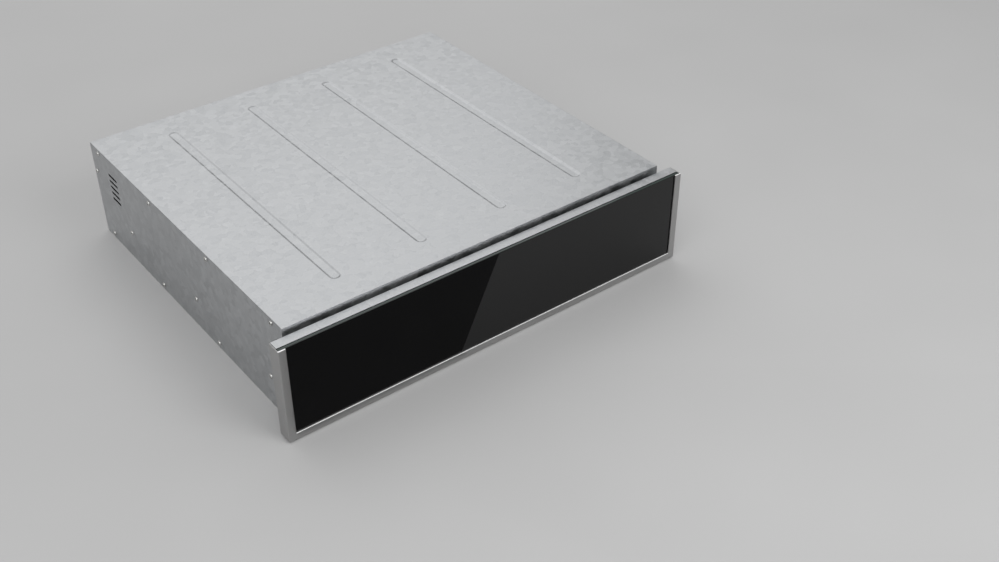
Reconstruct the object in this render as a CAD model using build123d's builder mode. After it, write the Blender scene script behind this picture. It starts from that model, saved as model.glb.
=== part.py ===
"""A built-in warming drawer for a kitchen niche.

A flat steel casing is screwed into the niche. A drawer with a black glass front, framed in steel on
three sides, runs out of it on ball runners. It has no handle: a push latch springs it open. A fan behind
the rear bulkhead blows warm air through the drawer, and the controls are on a strip behind the front.

Millimetres. X is to the right as seen from the front, Y to the back, Z up. The origin is at the middle
of the bottom of the whole object's box.
"""

import os
from collections import namedtuple
from math import copysign, cos, pi, radians, sin

from build123d import *

os.makedirs("parts", exist_ok=True)

# Driving dimensions of the front
front_width = 595.0
front_height = 131.0
front_lift = 2.0
front_thickness = 20.0
trim_side_width = 10.0
trim_bottom_height = 9.0
trim_lip = 2.0
trim_wall = 1.5
trim_edge = 0.4
glass_thickness = 4.0
glass_edge = 0.5
glue_line = 0.3
tape_thickness = 1.0
tape_width = 12.0
tape_inset = 3.0
carrier_sheet = 1.0
carrier_lip = 17.0
buffer_diameter = 8.0
buffer_thickness = 1.7
buffer_low = 12.0
buffer_spacing = 26.0
buffer_edge = 0.5

# How far the front is pressed in to release the latch, and what is left then
press_travel = 3.0
press_margin = 0.3

# Driving dimensions of the casing
casing_width = 556.0
casing_height = 140.0
casing_sheet = 1.0
casing_flange = 12.0
pass_clearance = 5.6
cover_bead_width = 16.0
cover_bead_depth = 1.5
cover_bead_margin = 42.0
cover_bead_spacing = 120.0
cover_bead_count = 4
mouth_clearance = 1.7
mouth_flange_step = 4.5
flange_clearance = 0.5
fixing_diameter = 5.0
fixing_setback = 15.0
fixing_drop = 25.0
fixing_spacing = 30.0
casing_screw_inset = 24.0
casing_screw_count = 4
vent_width = 4.0
vent_height = 30.0
vent_spacing = 9.0
vent_count = 15
vent_drop = 34.0
side_vent_width = 26.0
side_vent_height = 4.0
side_vent_setback = 60.0
side_vent_drop = 26.0
side_vent_spacing = 9.0
side_vent_rows = 5

# Ball runners
runner_length = 450.0
runner_height = 45.0
runner_thickness = 12.7
runner_wall = 1.2
runner_setback = 2.0
runner_rear_room = 54.5
runner_centre = 45.0
outer_lip_reach = 9.0
middle_rail_play = 0.5
outer_ball_diameter = 3.3
inner_ball_diameter = 2.8
ball_play = 0.1
ball_hole_play = 0.2
cage_sheet = 0.4
cage_play = 0.2
cage_length = 215.0
outer_cage_reach = 6.6
inner_cage_reach = 7.1
ball_count = 8
ball_end = 10.0
runner_screw_inset = 40.0
runner_screw_count = 3

# Drawer
drawer_rear_clearance = 2.5
drawer_lift = 14.0
drawer_head_room = 28.0
drawer_sheet = 0.8
drawer_rim = 10.0
sheet_fit = 0.2
control_depth = 38.3
control_drop = 12.0
control_flange = 8.0
panel_sheet = 1.0
box_flange = 12.0
mat_thickness = 2.0
mat_margin = 6.0
mat_rib_height = 0.8
mat_rib_width = 3.0
mat_rib_spacing = 12.0
front_screw_inset = 44.0
front_screw_count = 4
front_screw_low = 20.0
front_screw_drop = 23.0

# Grille in the bulkhead
intake_radius = 31.0
intake_hub = 9.0
intake_slot_width = 4.5
intake_slot_count = 12
outlet_slot_width = 5.0
outlet_slot_height = 58.0
outlet_slot_spacing = 12.0
outlet_slot_count = 9
outlet_inset = 100.0

# Fan, motor and heater
fan_plate_width = 140.0
fan_front_room = 6.2
fan_rear_room = 8.4
impeller_length = 14.0
impeller_back = 1.0
impeller_gap = 2.0
impeller_hub = 12.0
impeller_blade = 0.8
impeller_blade_depth = 13.0
impeller_blade_count = 18
impeller_blade_angle = 25.0
shaft_diameter = 5.0
shaft_end = 1.0
press_play = 0.02
running_play = 0.05
bridge_thickness = 2.0
bridge_width = 14.0
bridge_height = 52.0
bridge_post_diameter = 7.0
bridge_post_length = 6.0
bridge_post_spacing = 42.0
bush_diameter = 12.0
bush_length = 4.0
stator_length = 20.0
stator_near_side = 22.0
stator_far_side = 46.0
stator_height = 56.0
stator_limb = 14.0
stator_window = 14.0
stator_window_height = 34.0
rotor_diameter = 24.0
rotor_gap = 0.4
coil_play = 0.3
coil_wall = 8.0
coil_round = 2.5
heater_tube = 6.5
heater_ring_gap = 4.9
heater_clearance = 2.0
heater_arc = 330.0
heater_leg = 15.0
heater_pin_diameter = 3.0
heater_pin_length = 8.0
heater_hole_play = 0.3
cutout_diameter = 16.0
cutout_height = 7.0
cutout_flange_width = 24.0
cutout_flange_height = 10.0
cutout_flange_sheet = 1.0
cutout_across = 52.0
cutout_clearance = 7.4
cutout_tab_width = 6.0
cutout_tab_sheet = 0.8
cutout_tab_length = 8.0
cutout_tab_spacing = 7.0

# Controls on the strip behind the front
controls_inset = 113.3
lamp_step = 26.0
knob_step = 29.0
knob_diameter = 30.0
knob_height = 14.0
knob_gap = 0.4
knob_edge = 0.5
knob_pointer_inset = 1.5
knob_flute = 1.6
knob_flute_count = 24
knob_hole_play = 0.6
knob_pointer_width = 1.2
knob_pointer_length = 9.0
knob_pointer_depth = 0.6
knob_wall = 3.0
spindle_diameter = 6.0
selector_width = 20.0
selector_neck = 1.5
selector_neck_diameter = 10.0
selector_floor = 2.0
selector_edge = 2.0
switch_bezel = 1.5
switch_wall = 1.6
switch_ledge = 1.5
switch_edge = 0.5
rocker_length = 22.4
rocker_width = 10.0
rocker_play = 0.3
rocker_rise = 3.0
rocker_dish = 1.2
rocker_skirt = 1.0
rocker_keel = 5.0
rocker_keel_length = 8.0
rocker_angle = 8.0
rocker_pin_diameter = 2.0
rocker_pin_depth = 1.0
lamp_diameter = 8.0
lamp_rim_diameter = 10.0
lamp_rim = 0.8
lamp_dome = 1.6
lamp_round = 1.4
board_drop = 13.5
board_thickness = 1.6
board_end = 12.0
board_margin = 2.0
board_post_diameter = 5.0
board_post_inset = 5.0

# Push latch, on the casing's floor
latch_across = -150.0
latch_width = 32.0
latch_head_room = 2.0
latch_length = 80.0
latch_front = 312.5
latch_lug = 10.0
latch_lug_height = 3.0
plunger_diameter = 7.0
plunger_play = 0.3
plunger_length = 70.0
plunger_reach = 10.0
plunger_tip_diameter = 9.0
plunger_tip_length = 4.0
striker_width = 24.0
striker_sheet = 3.0
striker_foot = 15.0
striker_foot_sheet = 1.2
striker_gap = 0.2
floor_gap = 1.5

# Lead between the casing and the drawer, and the mains entry
lead_diameter = 7.0
lead_bend = 60.0
lead_rise = 0.3
lead_inset = 77.0
lead_straight = 30.0
lead_loop_depth = 190.0
lead_fixed_lean = 50.0
lead_loop_width = 100.0
lead_span = 200.0
anchor_width = 18.0
anchor_length = 17.0
duct_inset = 38.5
duct_width = 20.0
duct_height = 8.0
duct_wall = 1.2
duct_front = 14.0
duct_rear = 40.0
duct_hole = 10.0
terminal_width = 64.0
terminal_depth = 18.5
terminal_height = 52.0
terminal_wall = 1.2
terminal_block_width = 48.0
terminal_block_depth = 12.0
terminal_block_gap = 2.0
terminal_block_lift = 8.0
terminal_hole = 4.0
terminal_hole_spacing = 14.0
terminal_hole_count = 3
gland_height = 36.0
gland_projection = 12.5
gland_thread = 16.0
gland_bore = 8.4
gland_hex = 22.0
gland_hex_length = 6.0
gland_dome_diameter = 19.0
gland_dome_round = 2.5
gland_inside = 6.0
locknut_length = 3.0
gland_play = 0.1

# Screws
Screw = namedtuple("Screw", "head head_top head_height shank recess recess_width recess_depth")
m4_head = 7.0
m4_head_top = 5.6
m4_head_height = 1.4
m4_shank = 3.8
m4_recess = 4.0
m4_recess_width = 0.8
m4_recess_depth = 0.8
m4_screw = Screw(m4_head, m4_head_top, m4_head_height, m4_shank, m4_recess, m4_recess_width, m4_recess_depth)
m3_head = 5.4
m3_head_top = 4.2
m3_head_height = 1.2
m3_shank = 2.8
m3_recess = 3.0
m3_recess_width = 0.6
m3_recess_depth = 0.7
m3_screw = Screw(m3_head, m3_head_top, m3_head_height, m3_shank, m3_recess, m3_recess_width, m3_recess_depth)
screw_play = 0.1
screw_grip = 2.0
overrun = 1.0

# Places that follow from the sizes
press_gap = press_travel + buffer_thickness + press_margin
casing_depth = runner_setback + runner_length + runner_rear_room + casing_sheet
overall_depth = front_thickness + press_gap + casing_depth + gland_projection
front_y = -overall_depth / 2
front_rear_y = front_y + front_thickness
casing_front_y = front_rear_y + press_gap
casing_rear_y = casing_front_y + casing_depth
casing_half = casing_width / 2
casing_inside = casing_half - casing_sheet
cover_under_z = casing_height - casing_sheet
rear_inside_y = casing_rear_y - casing_sheet
terminal_y = rear_inside_y - terminal_depth
front_half = front_width / 2
front_top_z = front_lift + front_height
runner_front_y = casing_front_y + runner_setback
runner_rear_y = runner_front_y + runner_length
runner_top_z = runner_centre + runner_height / 2
mouth_flange = runner_thickness - mouth_clearance
mouth_foot_z = runner_top_z + mouth_flange_step
drawer_half = casing_inside - runner_thickness
drawer_inside = drawer_half - drawer_sheet
drawer_fit_half = drawer_inside - sheet_fit
drawer_front_y = front_rear_y
drawer_rear_y = terminal_y - press_travel - drawer_rear_clearance
drawer_floor_z = drawer_lift + drawer_sheet
drawer_top_z = casing_height - drawer_head_room
rim_under_z = drawer_top_z - drawer_sheet
control_rear_y = drawer_front_y + control_depth
control_y = (drawer_front_y + control_rear_y) / 2
control_top_z = drawer_top_z - control_drop
control_under_z = control_top_z - panel_sheet
fan_z = (drawer_floor_z + rim_under_z) / 2
shaft_rear_y = drawer_rear_y - drawer_sheet - fan_rear_room
rear_bridge_y = shaft_rear_y - shaft_end - bush_length - bridge_thickness
stator_rear_y = rear_bridge_y - bridge_post_length
stator_front_y = stator_rear_y - stator_length
front_bridge_y = stator_front_y - bridge_post_length - bridge_thickness
fan_plate_rear_y = front_bridge_y
fan_plate_y = fan_plate_rear_y - drawer_sheet
impeller_rear_y = fan_plate_y - impeller_gap
impeller_front_y = impeller_rear_y - impeller_length
shaft_front_y = impeller_front_y - shaft_end
bulkhead_y = shaft_front_y - fan_front_room - drawer_sheet
heater_radius = fan_z - drawer_floor_z - drawer_sheet - heater_clearance - heater_tube / 2
impeller_radius = heater_radius - heater_tube / 2 - heater_ring_gap
board_top_z = control_under_z - board_drop
switch_across = drawer_fit_half - controls_inset
lamp_across = switch_across + lamp_step
knob_across = lamp_across + knob_step
knob_foot_z = control_top_z + knob_gap
knob_top_z = knob_foot_z + knob_height
cover_flange_z = knob_top_z + pass_clearance
latch_y = casing_front_y + latch_front
lead_fixed_across = casing_inside - lead_inset
lead_drawer_across = lead_fixed_across - lead_span
duct_across = drawer_inside - duct_inset
m4_hole = m4_screw.shank / 2 + screw_play
m3_hole = m3_screw.shank / 2 + screw_play

# Directions
LEFT, RIGHT = (-1, 0, 0), (1, 0, 0)
FORWARD, BACK = (0, -1, 0), (0, 1, 0)
UP = (0, 0, 1)


def front_plane(y):
    """The upright plane at depth y. Its axes are X and Z, and a sketch on it extrudes to the front."""
    return Plane.XZ.offset(-y)


def spread(first, last, count):
    """Evenly spaced places from the first to the last."""
    return [first + (last - first) * step / (count - 1) for step in range(count)]


def centred(spacing, count):
    """Places a given distance apart, centred on zero."""
    return spread(-spacing * (count - 1) / 2, spacing * (count - 1) / 2, count)


def block(x, y, z, mode=Mode.ADD):
    """A box between two limits along each axis."""
    limits = (x, y, z)
    centre = [(low + high) / 2 for low, high in limits]
    with Locations(tuple(centre)):
        Box(*[high - low for low, high in limits], mode=mode)


def rod(foot, towards, radius, length, mode=Mode.ADD):
    """A round bar that stands on its foot and runs one way from it."""
    with Locations(Plane(origin=foot, z_dir=towards)):
        Cylinder(radius, length, align=(Align.CENTER, Align.CENTER, Align.MIN), mode=mode)


def hole(middle, along, radius, depth):
    """A round hole through whatever lies within the depth on both sides of its middle."""
    with Locations(Plane(origin=middle, z_dir=along)):
        Cylinder(radius, depth + depth, mode=Mode.SUBTRACT)


def screws(size, seats):
    """Pan-head screws with a cross recess, each with its seat, the way its head points and its length."""
    with BuildPart() as group:
        for point, outward, length in seats:
            seat = Plane(origin=point, z_dir=outward)
            foot = (Align.CENTER, Align.CENTER, Align.MIN)
            with Locations(seat):
                Cone(size.head / 2, size.head_top / 2, size.head_height, align=foot)
            with Locations(seat.offset(-length)):
                Cylinder(size.shank / 2, length, align=foot)
            with Locations(seat.offset(size.head_height - size.recess_depth)):
                Box(size.recess, size.recess_width, size.recess_depth, align=foot, mode=Mode.SUBTRACT)
                Box(size.recess_width, size.recess, size.recess_depth, align=foot, mode=Mode.SUBTRACT)
    return group


def write(piece, name):
    """Names a finished piece and writes it."""
    piece.part.label = name
    export_step(piece.part, f"parts/{name}.step")


# Front: the three trim bars, mitred where they meet at the two lower corners
mitre_slope = trim_bottom_height / trim_side_width

for side, name in ((-1, "left_trim"), (1, "right_trim")):
    with BuildPart() as side_trim:
        for reach, depth in ((trim_side_width, trim_lip), (trim_wall, front_thickness)):
            with BuildSketch(front_plane(front_y + depth)):
                with BuildLine():
                    Polyline(
                        (side * front_half, front_lift),
                        (side * (front_half - reach), front_lift + reach * mitre_slope),
                        (side * (front_half - reach), front_top_z),
                        (side * front_half, front_top_z),
                        close=True,
                    )
                make_face()
            extrude(amount=depth)
        front_edges = side_trim.edges().filter_by(Axis.Z).group_by(Axis.Y)[0]
        chamfer(front_edges, trim_edge)
    write(side_trim, name)

with BuildPart() as bottom_trim:
    for reach, depth in ((trim_bottom_height, trim_lip), (trim_wall, front_thickness)):
        with BuildSketch(front_plane(front_y + depth)):
            with BuildLine():
                Polyline(
                    (-front_half, front_lift),
                    (front_half, front_lift),
                    (front_half - reach / mitre_slope, front_lift + reach),
                    (reach / mitre_slope - front_half, front_lift + reach),
                    close=True,
                )
            make_face()
        extrude(amount=depth)
    front_edges = bottom_trim.edges().filter_by(Axis.X).group_by(Axis.Y)[0]
    chamfer(front_edges, trim_edge)
write(bottom_trim, "bottom_trim")

# Front: the glass, the bonding tape behind it and the sheet carrier that holds it all
pane_half = front_half - trim_wall - glue_line
pane_low_z = front_lift + trim_wall + glue_line
pane_mid_z = (pane_low_z + front_top_z) / 2
pane_height = front_top_z - pane_low_z
glass_rear_y = front_y + trim_lip + glass_thickness
tape_rear_y = glass_rear_y + tape_thickness

with BuildPart() as glass_front:
    with BuildSketch(front_plane(glass_rear_y)):
        with Locations((0, pane_mid_z)):
            Rectangle(2 * pane_half, pane_height)
    extrude(amount=glass_thickness)
    chamfer(glass_front.faces().sort_by(Axis.Y)[0].edges(), glass_edge)
write(glass_front, "glass_front")

with BuildPart() as glass_tape:
    with BuildSketch(front_plane(tape_rear_y)):
        with Locations((0, pane_mid_z)):
            tape_outline = Rectangle(2 * (pane_half - tape_inset), pane_height - 2 * tape_inset)
        offset(tape_outline, amount=-tape_width, kind=Kind.INTERSECTION, mode=Mode.SUBTRACT)
    extrude(amount=tape_thickness)
write(glass_tape, "glass_tape")

front_screw_last = drawer_fit_half - front_screw_inset
front_screw_places = [
    (x, z)
    for x in spread(-front_screw_last, front_screw_last, front_screw_count)
    for z in (drawer_lift + front_screw_low, control_under_z - front_screw_drop)
]
with BuildPart() as front_carrier:
    with BuildSketch(front_plane(front_rear_y)):
        with Locations((0, pane_mid_z)):
            Rectangle(2 * pane_half, pane_height)
    extrude(amount=front_rear_y - tape_rear_y)
    with BuildSketch(front_plane(front_rear_y - carrier_sheet)):
        with Locations((0, pane_mid_z)):
            Rectangle(2 * (pane_half - carrier_sheet), pane_height - 2 * carrier_sheet)
    extrude(amount=front_rear_y - tape_rear_y - 2 * carrier_sheet, mode=Mode.SUBTRACT)
    with BuildSketch(front_plane(tape_rear_y + carrier_sheet)):
        with Locations((0, pane_mid_z)):
            Rectangle(2 * (pane_half - carrier_lip), pane_height - 2 * carrier_lip)
    extrude(amount=carrier_sheet + overrun, mode=Mode.SUBTRACT)
    for x, z in front_screw_places:
        hole((x, front_rear_y, z), BACK, m4_hole, carrier_sheet + overrun)
write(front_carrier, "front_carrier")

# Rubber buffers on the back of the front, opposite the casing's mouth flanges
buffer_across = casing_inside - mouth_flange / 2
with BuildPart() as front_buffers:
    for side in (-1, 1):
        for z in (mouth_foot_z + buffer_low, mouth_foot_z + buffer_low + buffer_spacing):
            with Locations(Plane(origin=(side * buffer_across, front_rear_y, z), z_dir=BACK)):
                Cylinder(
                    buffer_diameter / 2,
                    buffer_thickness,
                    align=(Align.CENTER, Align.CENTER, Align.MIN),
                )
    chamfer(front_buffers.edges().group_by(Axis.Y)[-1], buffer_edge)
write(front_buffers, "front_buffers")

front_screw_length = drawer_sheet + carrier_sheet + screw_grip
front_seat_y = drawer_front_y + drawer_sheet
front_seats = [((x, front_seat_y, z), BACK, front_screw_length) for x, z in front_screw_places]
write(screws(m4_screw, front_seats), "front_screws")

# Casing: the floor, with its two sides turned up
casing_screw_rows = spread(
    casing_front_y + casing_screw_inset, casing_rear_y - casing_screw_inset, casing_screw_count
)
base_screw_z = casing_sheet + casing_flange / 2
cover_screw_z = cover_under_z - casing_flange / 2
rear_edge_z = (mouth_foot_z, cover_under_z - casing_flange - flange_clearance)
rear_screw_z = (rear_edge_z[0] + rear_edge_z[1]) / 2
rear_screw_y = rear_inside_y - casing_flange / 2
latch_screw_y = latch_y + latch_length / 2
latch_screw_across = latch_width / 2 + latch_lug / 2
latch_screw_places = [
    (latch_across - latch_screw_across, latch_screw_y),
    (latch_across + latch_screw_across, latch_screw_y),
]

with BuildPart() as casing_base:
    block((-casing_inside, casing_inside), (casing_front_y, rear_inside_y), (0, casing_sheet))
    for side in (-1, 1):
        edge = sorted((side * casing_inside, side * (casing_inside - casing_sheet)))
        block(edge, (casing_front_y, rear_inside_y), (0, casing_sheet + casing_flange))
        for y in casing_screw_rows:
            hole((side * casing_inside, y, base_screw_z), RIGHT, m4_hole, casing_sheet + overrun)
    for x, y in latch_screw_places:
        hole((x, y, 0), UP, m4_hole, casing_sheet + overrun)
write(casing_base, "casing_base")

# Casing: the side walls, with the mouth flange that the front's buffers meet
fixing_z = cover_under_z - fixing_drop - fixing_spacing
runner_screw_rows = spread(
    runner_front_y + runner_screw_inset, runner_rear_y - runner_screw_inset, runner_screw_count
)
mouth_top_z = cover_flange_z - flange_clearance
side_vent_y = rear_inside_y - side_vent_setback

for side, name in ((-1, "casing_left_side"), (1, "casing_right_side")):
    with BuildPart() as casing_side:
        wall = sorted((side * casing_half, side * casing_inside))
        block(wall, (casing_front_y, casing_rear_y), (0, cover_under_z))
        flange = sorted((side * casing_half, side * (casing_inside - mouth_flange)))
        block(flange, (casing_front_y, casing_front_y + casing_sheet), (mouth_foot_z, mouth_top_z))
        fixing_y = casing_front_y + fixing_setback
        for z in (fixing_z, fixing_z + fixing_spacing):
            hole((side * casing_half, fixing_y, z), RIGHT, fixing_diameter / 2, casing_sheet + overrun)
        for y in casing_screw_rows:
            for z in (base_screw_z, cover_screw_z):
                hole((side * casing_half, y, z), RIGHT, m4_hole, casing_sheet + overrun)
        for y in runner_screw_rows:
            hole((side * casing_half, y, runner_centre), RIGHT, m4_hole, casing_sheet + overrun)
        hole((side * casing_half, rear_screw_y, rear_screw_z), RIGHT, m4_hole, casing_sheet + overrun)
        with BuildSketch(Plane.YZ.offset(side * casing_half)):
            for row in range(side_vent_rows):
                with Locations((side_vent_y, cover_under_z - side_vent_drop - row * side_vent_spacing)):
                    SlotOverall(side_vent_width, side_vent_height)
        extrude(amount=casing_sheet + overrun, both=True, mode=Mode.SUBTRACT)
    write(casing_side, name)

# Casing: the rear panel, with vents, the hole for the mains entry and two edges turned forward
with BuildPart() as casing_rear_panel:
    block((-casing_inside, casing_inside), (rear_inside_y, casing_rear_y), (0, cover_under_z))
    for side in (-1, 1):
        edge = sorted((side * casing_inside, side * (casing_inside - casing_sheet)))
        block(edge, (rear_inside_y - casing_flange, casing_rear_y), rear_edge_z)
        hole((side * casing_inside, rear_screw_y, rear_screw_z), RIGHT, m4_hole, casing_sheet + overrun)
    gland_hole = gland_thread / 2 + gland_play
    hole((lead_fixed_across, casing_rear_y, gland_height), BACK, gland_hole, casing_sheet + overrun)
    with BuildSketch(front_plane(casing_rear_y)):
        for x in centred(vent_spacing, vent_count):
            with Locations((x, cover_under_z - vent_drop)):
                SlotOverall(vent_height, vent_width, rotation=90)
    extrude(amount=casing_sheet + overrun, both=True, mode=Mode.SUBTRACT)
write(casing_rear_panel, "casing_rear_panel")

# Casing: the top cover, stiffened by pressed-in beads, with three edges turned down
bead_wall = cover_bead_width / 2 - casing_sheet
with BuildPart() as casing_top_cover:
    block((-casing_half, casing_half), (casing_front_y, casing_rear_y), (cover_under_z, casing_height))
    for side in (-1, 1):
        edge = sorted((side * casing_inside, side * (casing_inside - casing_sheet)))
        flange_y = (casing_front_y + 2 * casing_sheet, rear_inside_y)
        block(edge, flange_y, (cover_under_z - casing_flange, cover_under_z))
        for y in casing_screw_rows:
            hole((side * casing_inside, y, cover_screw_z), RIGHT, m4_hole, casing_sheet + overrun)
    front_edge = (casing_front_y, casing_front_y + casing_sheet)
    block((-casing_inside, casing_inside), front_edge, (cover_flange_z, cover_under_z))
    bead_middle = (casing_front_y + casing_rear_y) / 2
    bead_length = casing_depth - 2 * cover_bead_margin
    bead_places = [(x, bead_middle) for x in centred(cover_bead_spacing, cover_bead_count)]
    with BuildSketch(Plane.XY.offset(cover_under_z)):
        with Locations(*bead_places):
            SlotOverall(bead_length, cover_bead_width, rotation=90)
    extrude(amount=-cover_bead_depth)
    with BuildSketch(Plane.XY.offset(casing_height)):
        with Locations(*bead_places):
            SlotOverall(bead_length - 2 * casing_sheet, 2 * bead_wall, rotation=90)
    extrude(amount=-cover_bead_depth, mode=Mode.SUBTRACT)
write(casing_top_cover, "casing_top_cover")

casing_screw_length = 2 * casing_sheet + screw_grip
latch_seat_z = casing_sheet + latch_lug_height
casing_seats = [((x, y, latch_seat_z), UP, latch_seat_z) for x, y in latch_screw_places]
for side, outward in ((-1, LEFT), (1, RIGHT)):
    for y in casing_screw_rows:
        for z in (base_screw_z, cover_screw_z):
            casing_seats.append(((side * casing_half, y, z), outward, casing_screw_length))
    casing_seats.append(((side * casing_half, rear_screw_y, rear_screw_z), outward, casing_screw_length))
write(screws(m4_screw, casing_seats), "casing_screws")

# Ball runners: distances across are counted from the casing's wall, heights from the runner's middle
outer_inside = runner_height / 2 - runner_wall
middle_outside = outer_inside - outer_ball_diameter - 2 * ball_play
middle_inside = middle_outside - runner_wall
inner_outside = middle_inside - inner_ball_diameter - 2 * ball_play
outer_cage_back = runner_wall + cage_play
middle_back = outer_cage_back + cage_sheet + cage_play
inner_cage_back = middle_back + runner_wall + cage_play
inner_web = runner_thickness - runner_wall
inner_lip = inner_cage_back + cage_sheet + 2 * cage_play
middle_lip = inner_web - middle_rail_play
outer_ball_across = (outer_cage_back + cage_sheet + outer_cage_back + outer_cage_reach) / 2
inner_ball_across = (inner_cage_back + cage_sheet + inner_cage_back + inner_cage_reach) / 2
outer_strip = (outer_inside + middle_outside) / 2
inner_strip = (middle_inside + inner_outside) / 2


def channel(side, back, lip, half_height, wall, front, length):
    """A C-shaped rail or cage: its web's back is at one distance, and its lips end at the other."""
    web = back + copysign(wall, lip - back)
    step = half_height - wall
    half_section = [(web, step), (lip, step), (lip, half_height), (back, half_height)]
    section = half_section + [(across, -height) for across, height in reversed(half_section)]
    outline = [(side * (casing_inside - across), runner_centre + height) for across, height in section]
    with BuildPart() as made:
        with BuildSketch(front_plane(front + length)):
            with BuildLine():
                Polyline(*outline, close=True)
            make_face()
        extrude(amount=length)
    return made.part


rail_span = (runner_front_y, runner_length)
for side, hand in ((-1, "left"), (1, "right")):
    with BuildPart() as runner_outer:
        add(channel(side, 0, outer_lip_reach, runner_height / 2, runner_wall, *rail_span))
        for y in runner_screw_rows:
            hole((side * casing_inside, y, runner_centre), RIGHT, m4_hole, runner_wall + overrun)
    write(runner_outer, f"runner_outer_{hand}")

    with BuildPart() as runner_middle:
        add(channel(side, middle_back, middle_lip, middle_outside, runner_wall, *rail_span))
    write(runner_middle, f"runner_middle_{hand}")

    with BuildPart() as runner_inner:
        add(channel(side, runner_thickness, inner_lip, inner_outside, runner_wall, *rail_span))
        for y in runner_screw_rows:
            hole((side * drawer_half, y, runner_centre), RIGHT, m4_hole, runner_wall + overrun)
    write(runner_inner, f"runner_inner_{hand}")

outer_screw_length = casing_sheet + runner_wall
inner_screw_length = drawer_sheet + runner_wall
outer_runner_seats = []
inner_runner_seats = []
for side, outward, inward in ((-1, LEFT, RIGHT), (1, RIGHT, LEFT)):
    for y in runner_screw_rows:
        outer_runner_seats.append(((side * casing_half, y, runner_centre), outward, outer_screw_length))
        inner_runner_seats.append(((side * drawer_inside, y, runner_centre), inward, inner_screw_length))
write(screws(m4_screw, outer_runner_seats), "runner_outer_screws")
write(screws(m4_screw, inner_runner_seats), "runner_inner_screws")

# Ball cages and balls, two rows of balls on each side
cage_front_y = runner_front_y + (runner_length - cage_length) / 2
ball_rows = spread(cage_front_y + ball_end, cage_front_y + cage_length - ball_end, ball_count)
cage_span = (cage_front_y, cage_length)
ball_sets = (
    ("outer", outer_cage_back, outer_cage_reach, outer_strip, outer_ball_across, outer_ball_diameter),
    ("inner", inner_cage_back, inner_cage_reach, inner_strip, inner_ball_across, inner_ball_diameter),
)
for level, back, reach, strip, across, diameter in ball_sets:
    with BuildPart() as cages:
        for side in (-1, 1):
            add(channel(side, back, back + reach, strip + cage_sheet / 2, cage_sheet, *cage_span))
            for y in ball_rows:
                middle = (side * (casing_inside - across), y, runner_centre)
                hole(middle, UP, diameter / 2 + ball_hole_play, runner_height)
    write(cages, f"{level}_ball_cages")

    with BuildPart() as balls:
        for side in (-1, 1):
            for y in ball_rows:
                for z in (runner_centre - strip, runner_centre + strip):
                    with Locations((side * (casing_inside - across), y, z)):
                        Sphere(diameter / 2)
    write(balls, f"{level}_balls")

# Drawer: floor and sides folded from one sheet, with the rims turned in
with BuildPart() as drawer_tray:
    drawer_limits = (drawer_front_y, drawer_rear_y)
    block((-drawer_half, drawer_half), drawer_limits, (drawer_lift, drawer_floor_z))
    for side in (-1, 1):
        wall = sorted((side * drawer_half, side * drawer_inside))
        block(wall, drawer_limits, (drawer_lift, drawer_top_z))
        rim = sorted((side * drawer_half, side * (drawer_half - drawer_rim)))
        block(rim, drawer_limits, (rim_under_z, drawer_top_z))
        for y in runner_screw_rows:
            hole((side * drawer_half, y, runner_centre), RIGHT, m4_hole, drawer_sheet + overrun)
    wire_holes = [
        (duct_across, drawer_front_y + duct_front + duct_hole),
        (duct_across, drawer_rear_y - duct_rear - duct_hole),
        (lead_drawer_across, drawer_rear_y - anchor_length / 2),
    ]
    for x, y in wire_holes:
        hole((x, y, drawer_lift), UP, duct_hole / 2, drawer_sheet + overrun)
write(drawer_tray, "drawer_tray")

# Drawer: the hollow front wall that holds the controls
panel_screw_across = drawer_fit_half - control_flange
panel_screw_places = [
    (x, y)
    for x in (-panel_screw_across, panel_screw_across)
    for y in (drawer_front_y + control_flange / 2, control_rear_y - control_flange / 2)
]
with BuildPart() as front_channel:
    with BuildSketch(Plane.YZ.offset(-drawer_fit_half)):
        with Locations((control_y, (drawer_floor_z + control_under_z) / 2)):
            Rectangle(control_depth, control_under_z - drawer_floor_z)
            Rectangle(
                control_depth - 2 * drawer_sheet,
                control_under_z - drawer_floor_z - 2 * drawer_sheet,
                mode=Mode.SUBTRACT,
            )
        with Locations((control_y, control_under_z)):
            Rectangle(control_depth - 2 * control_flange, control_flange, mode=Mode.SUBTRACT)
    extrude(amount=2 * drawer_fit_half)
    for x, z in front_screw_places:
        hole((x, drawer_front_y, z), BACK, m4_hole, drawer_sheet + overrun)
    for x, y in panel_screw_places:
        hole((x, y, control_under_z), UP, m3_hole, drawer_sheet + overrun)
    hole((wire_holes[0][0], wire_holes[0][1], drawer_floor_z), UP, duct_hole / 2, drawer_sheet + overrun)
write(front_channel, "front_channel")

# Drawer: the control strip on top of the hollow wall
selector_hole = spindle_diameter / 2 + knob_hole_play
tilt = radians(rocker_angle)
rocker_half = rocker_length / 2
rocker_half_width = rocker_width / 2
pocket_half = rocker_half * cos(tilt) + rocker_rise * sin(tilt) + rocker_play
pocket_half_width = rocker_half_width + rocker_play
switch_cut_length = 2 * (pocket_half + switch_wall)
switch_cut_width = 2 * (pocket_half_width + switch_wall)
with BuildPart() as control_panel:
    panel_limits = (drawer_front_y, control_rear_y)
    block((-drawer_fit_half, drawer_fit_half), panel_limits, (control_under_z, control_top_z))
    for x, y in panel_screw_places:
        hole((x, y, control_top_z), UP, m3_hole, panel_sheet + overrun)
    hole((knob_across, control_y, control_top_z), UP, selector_hole, panel_sheet + overrun)
    hole((lamp_across, control_y, control_top_z), UP, lamp_diameter / 2 + sheet_fit, panel_sheet + overrun)
    with Locations((switch_across, control_y, control_top_z)):
        Box(
            switch_cut_length + 2 * sheet_fit,
            switch_cut_width + 2 * sheet_fit,
            panel_sheet + panel_sheet + overrun,
            mode=Mode.SUBTRACT,
        )
write(control_panel, "control_panel")

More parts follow.
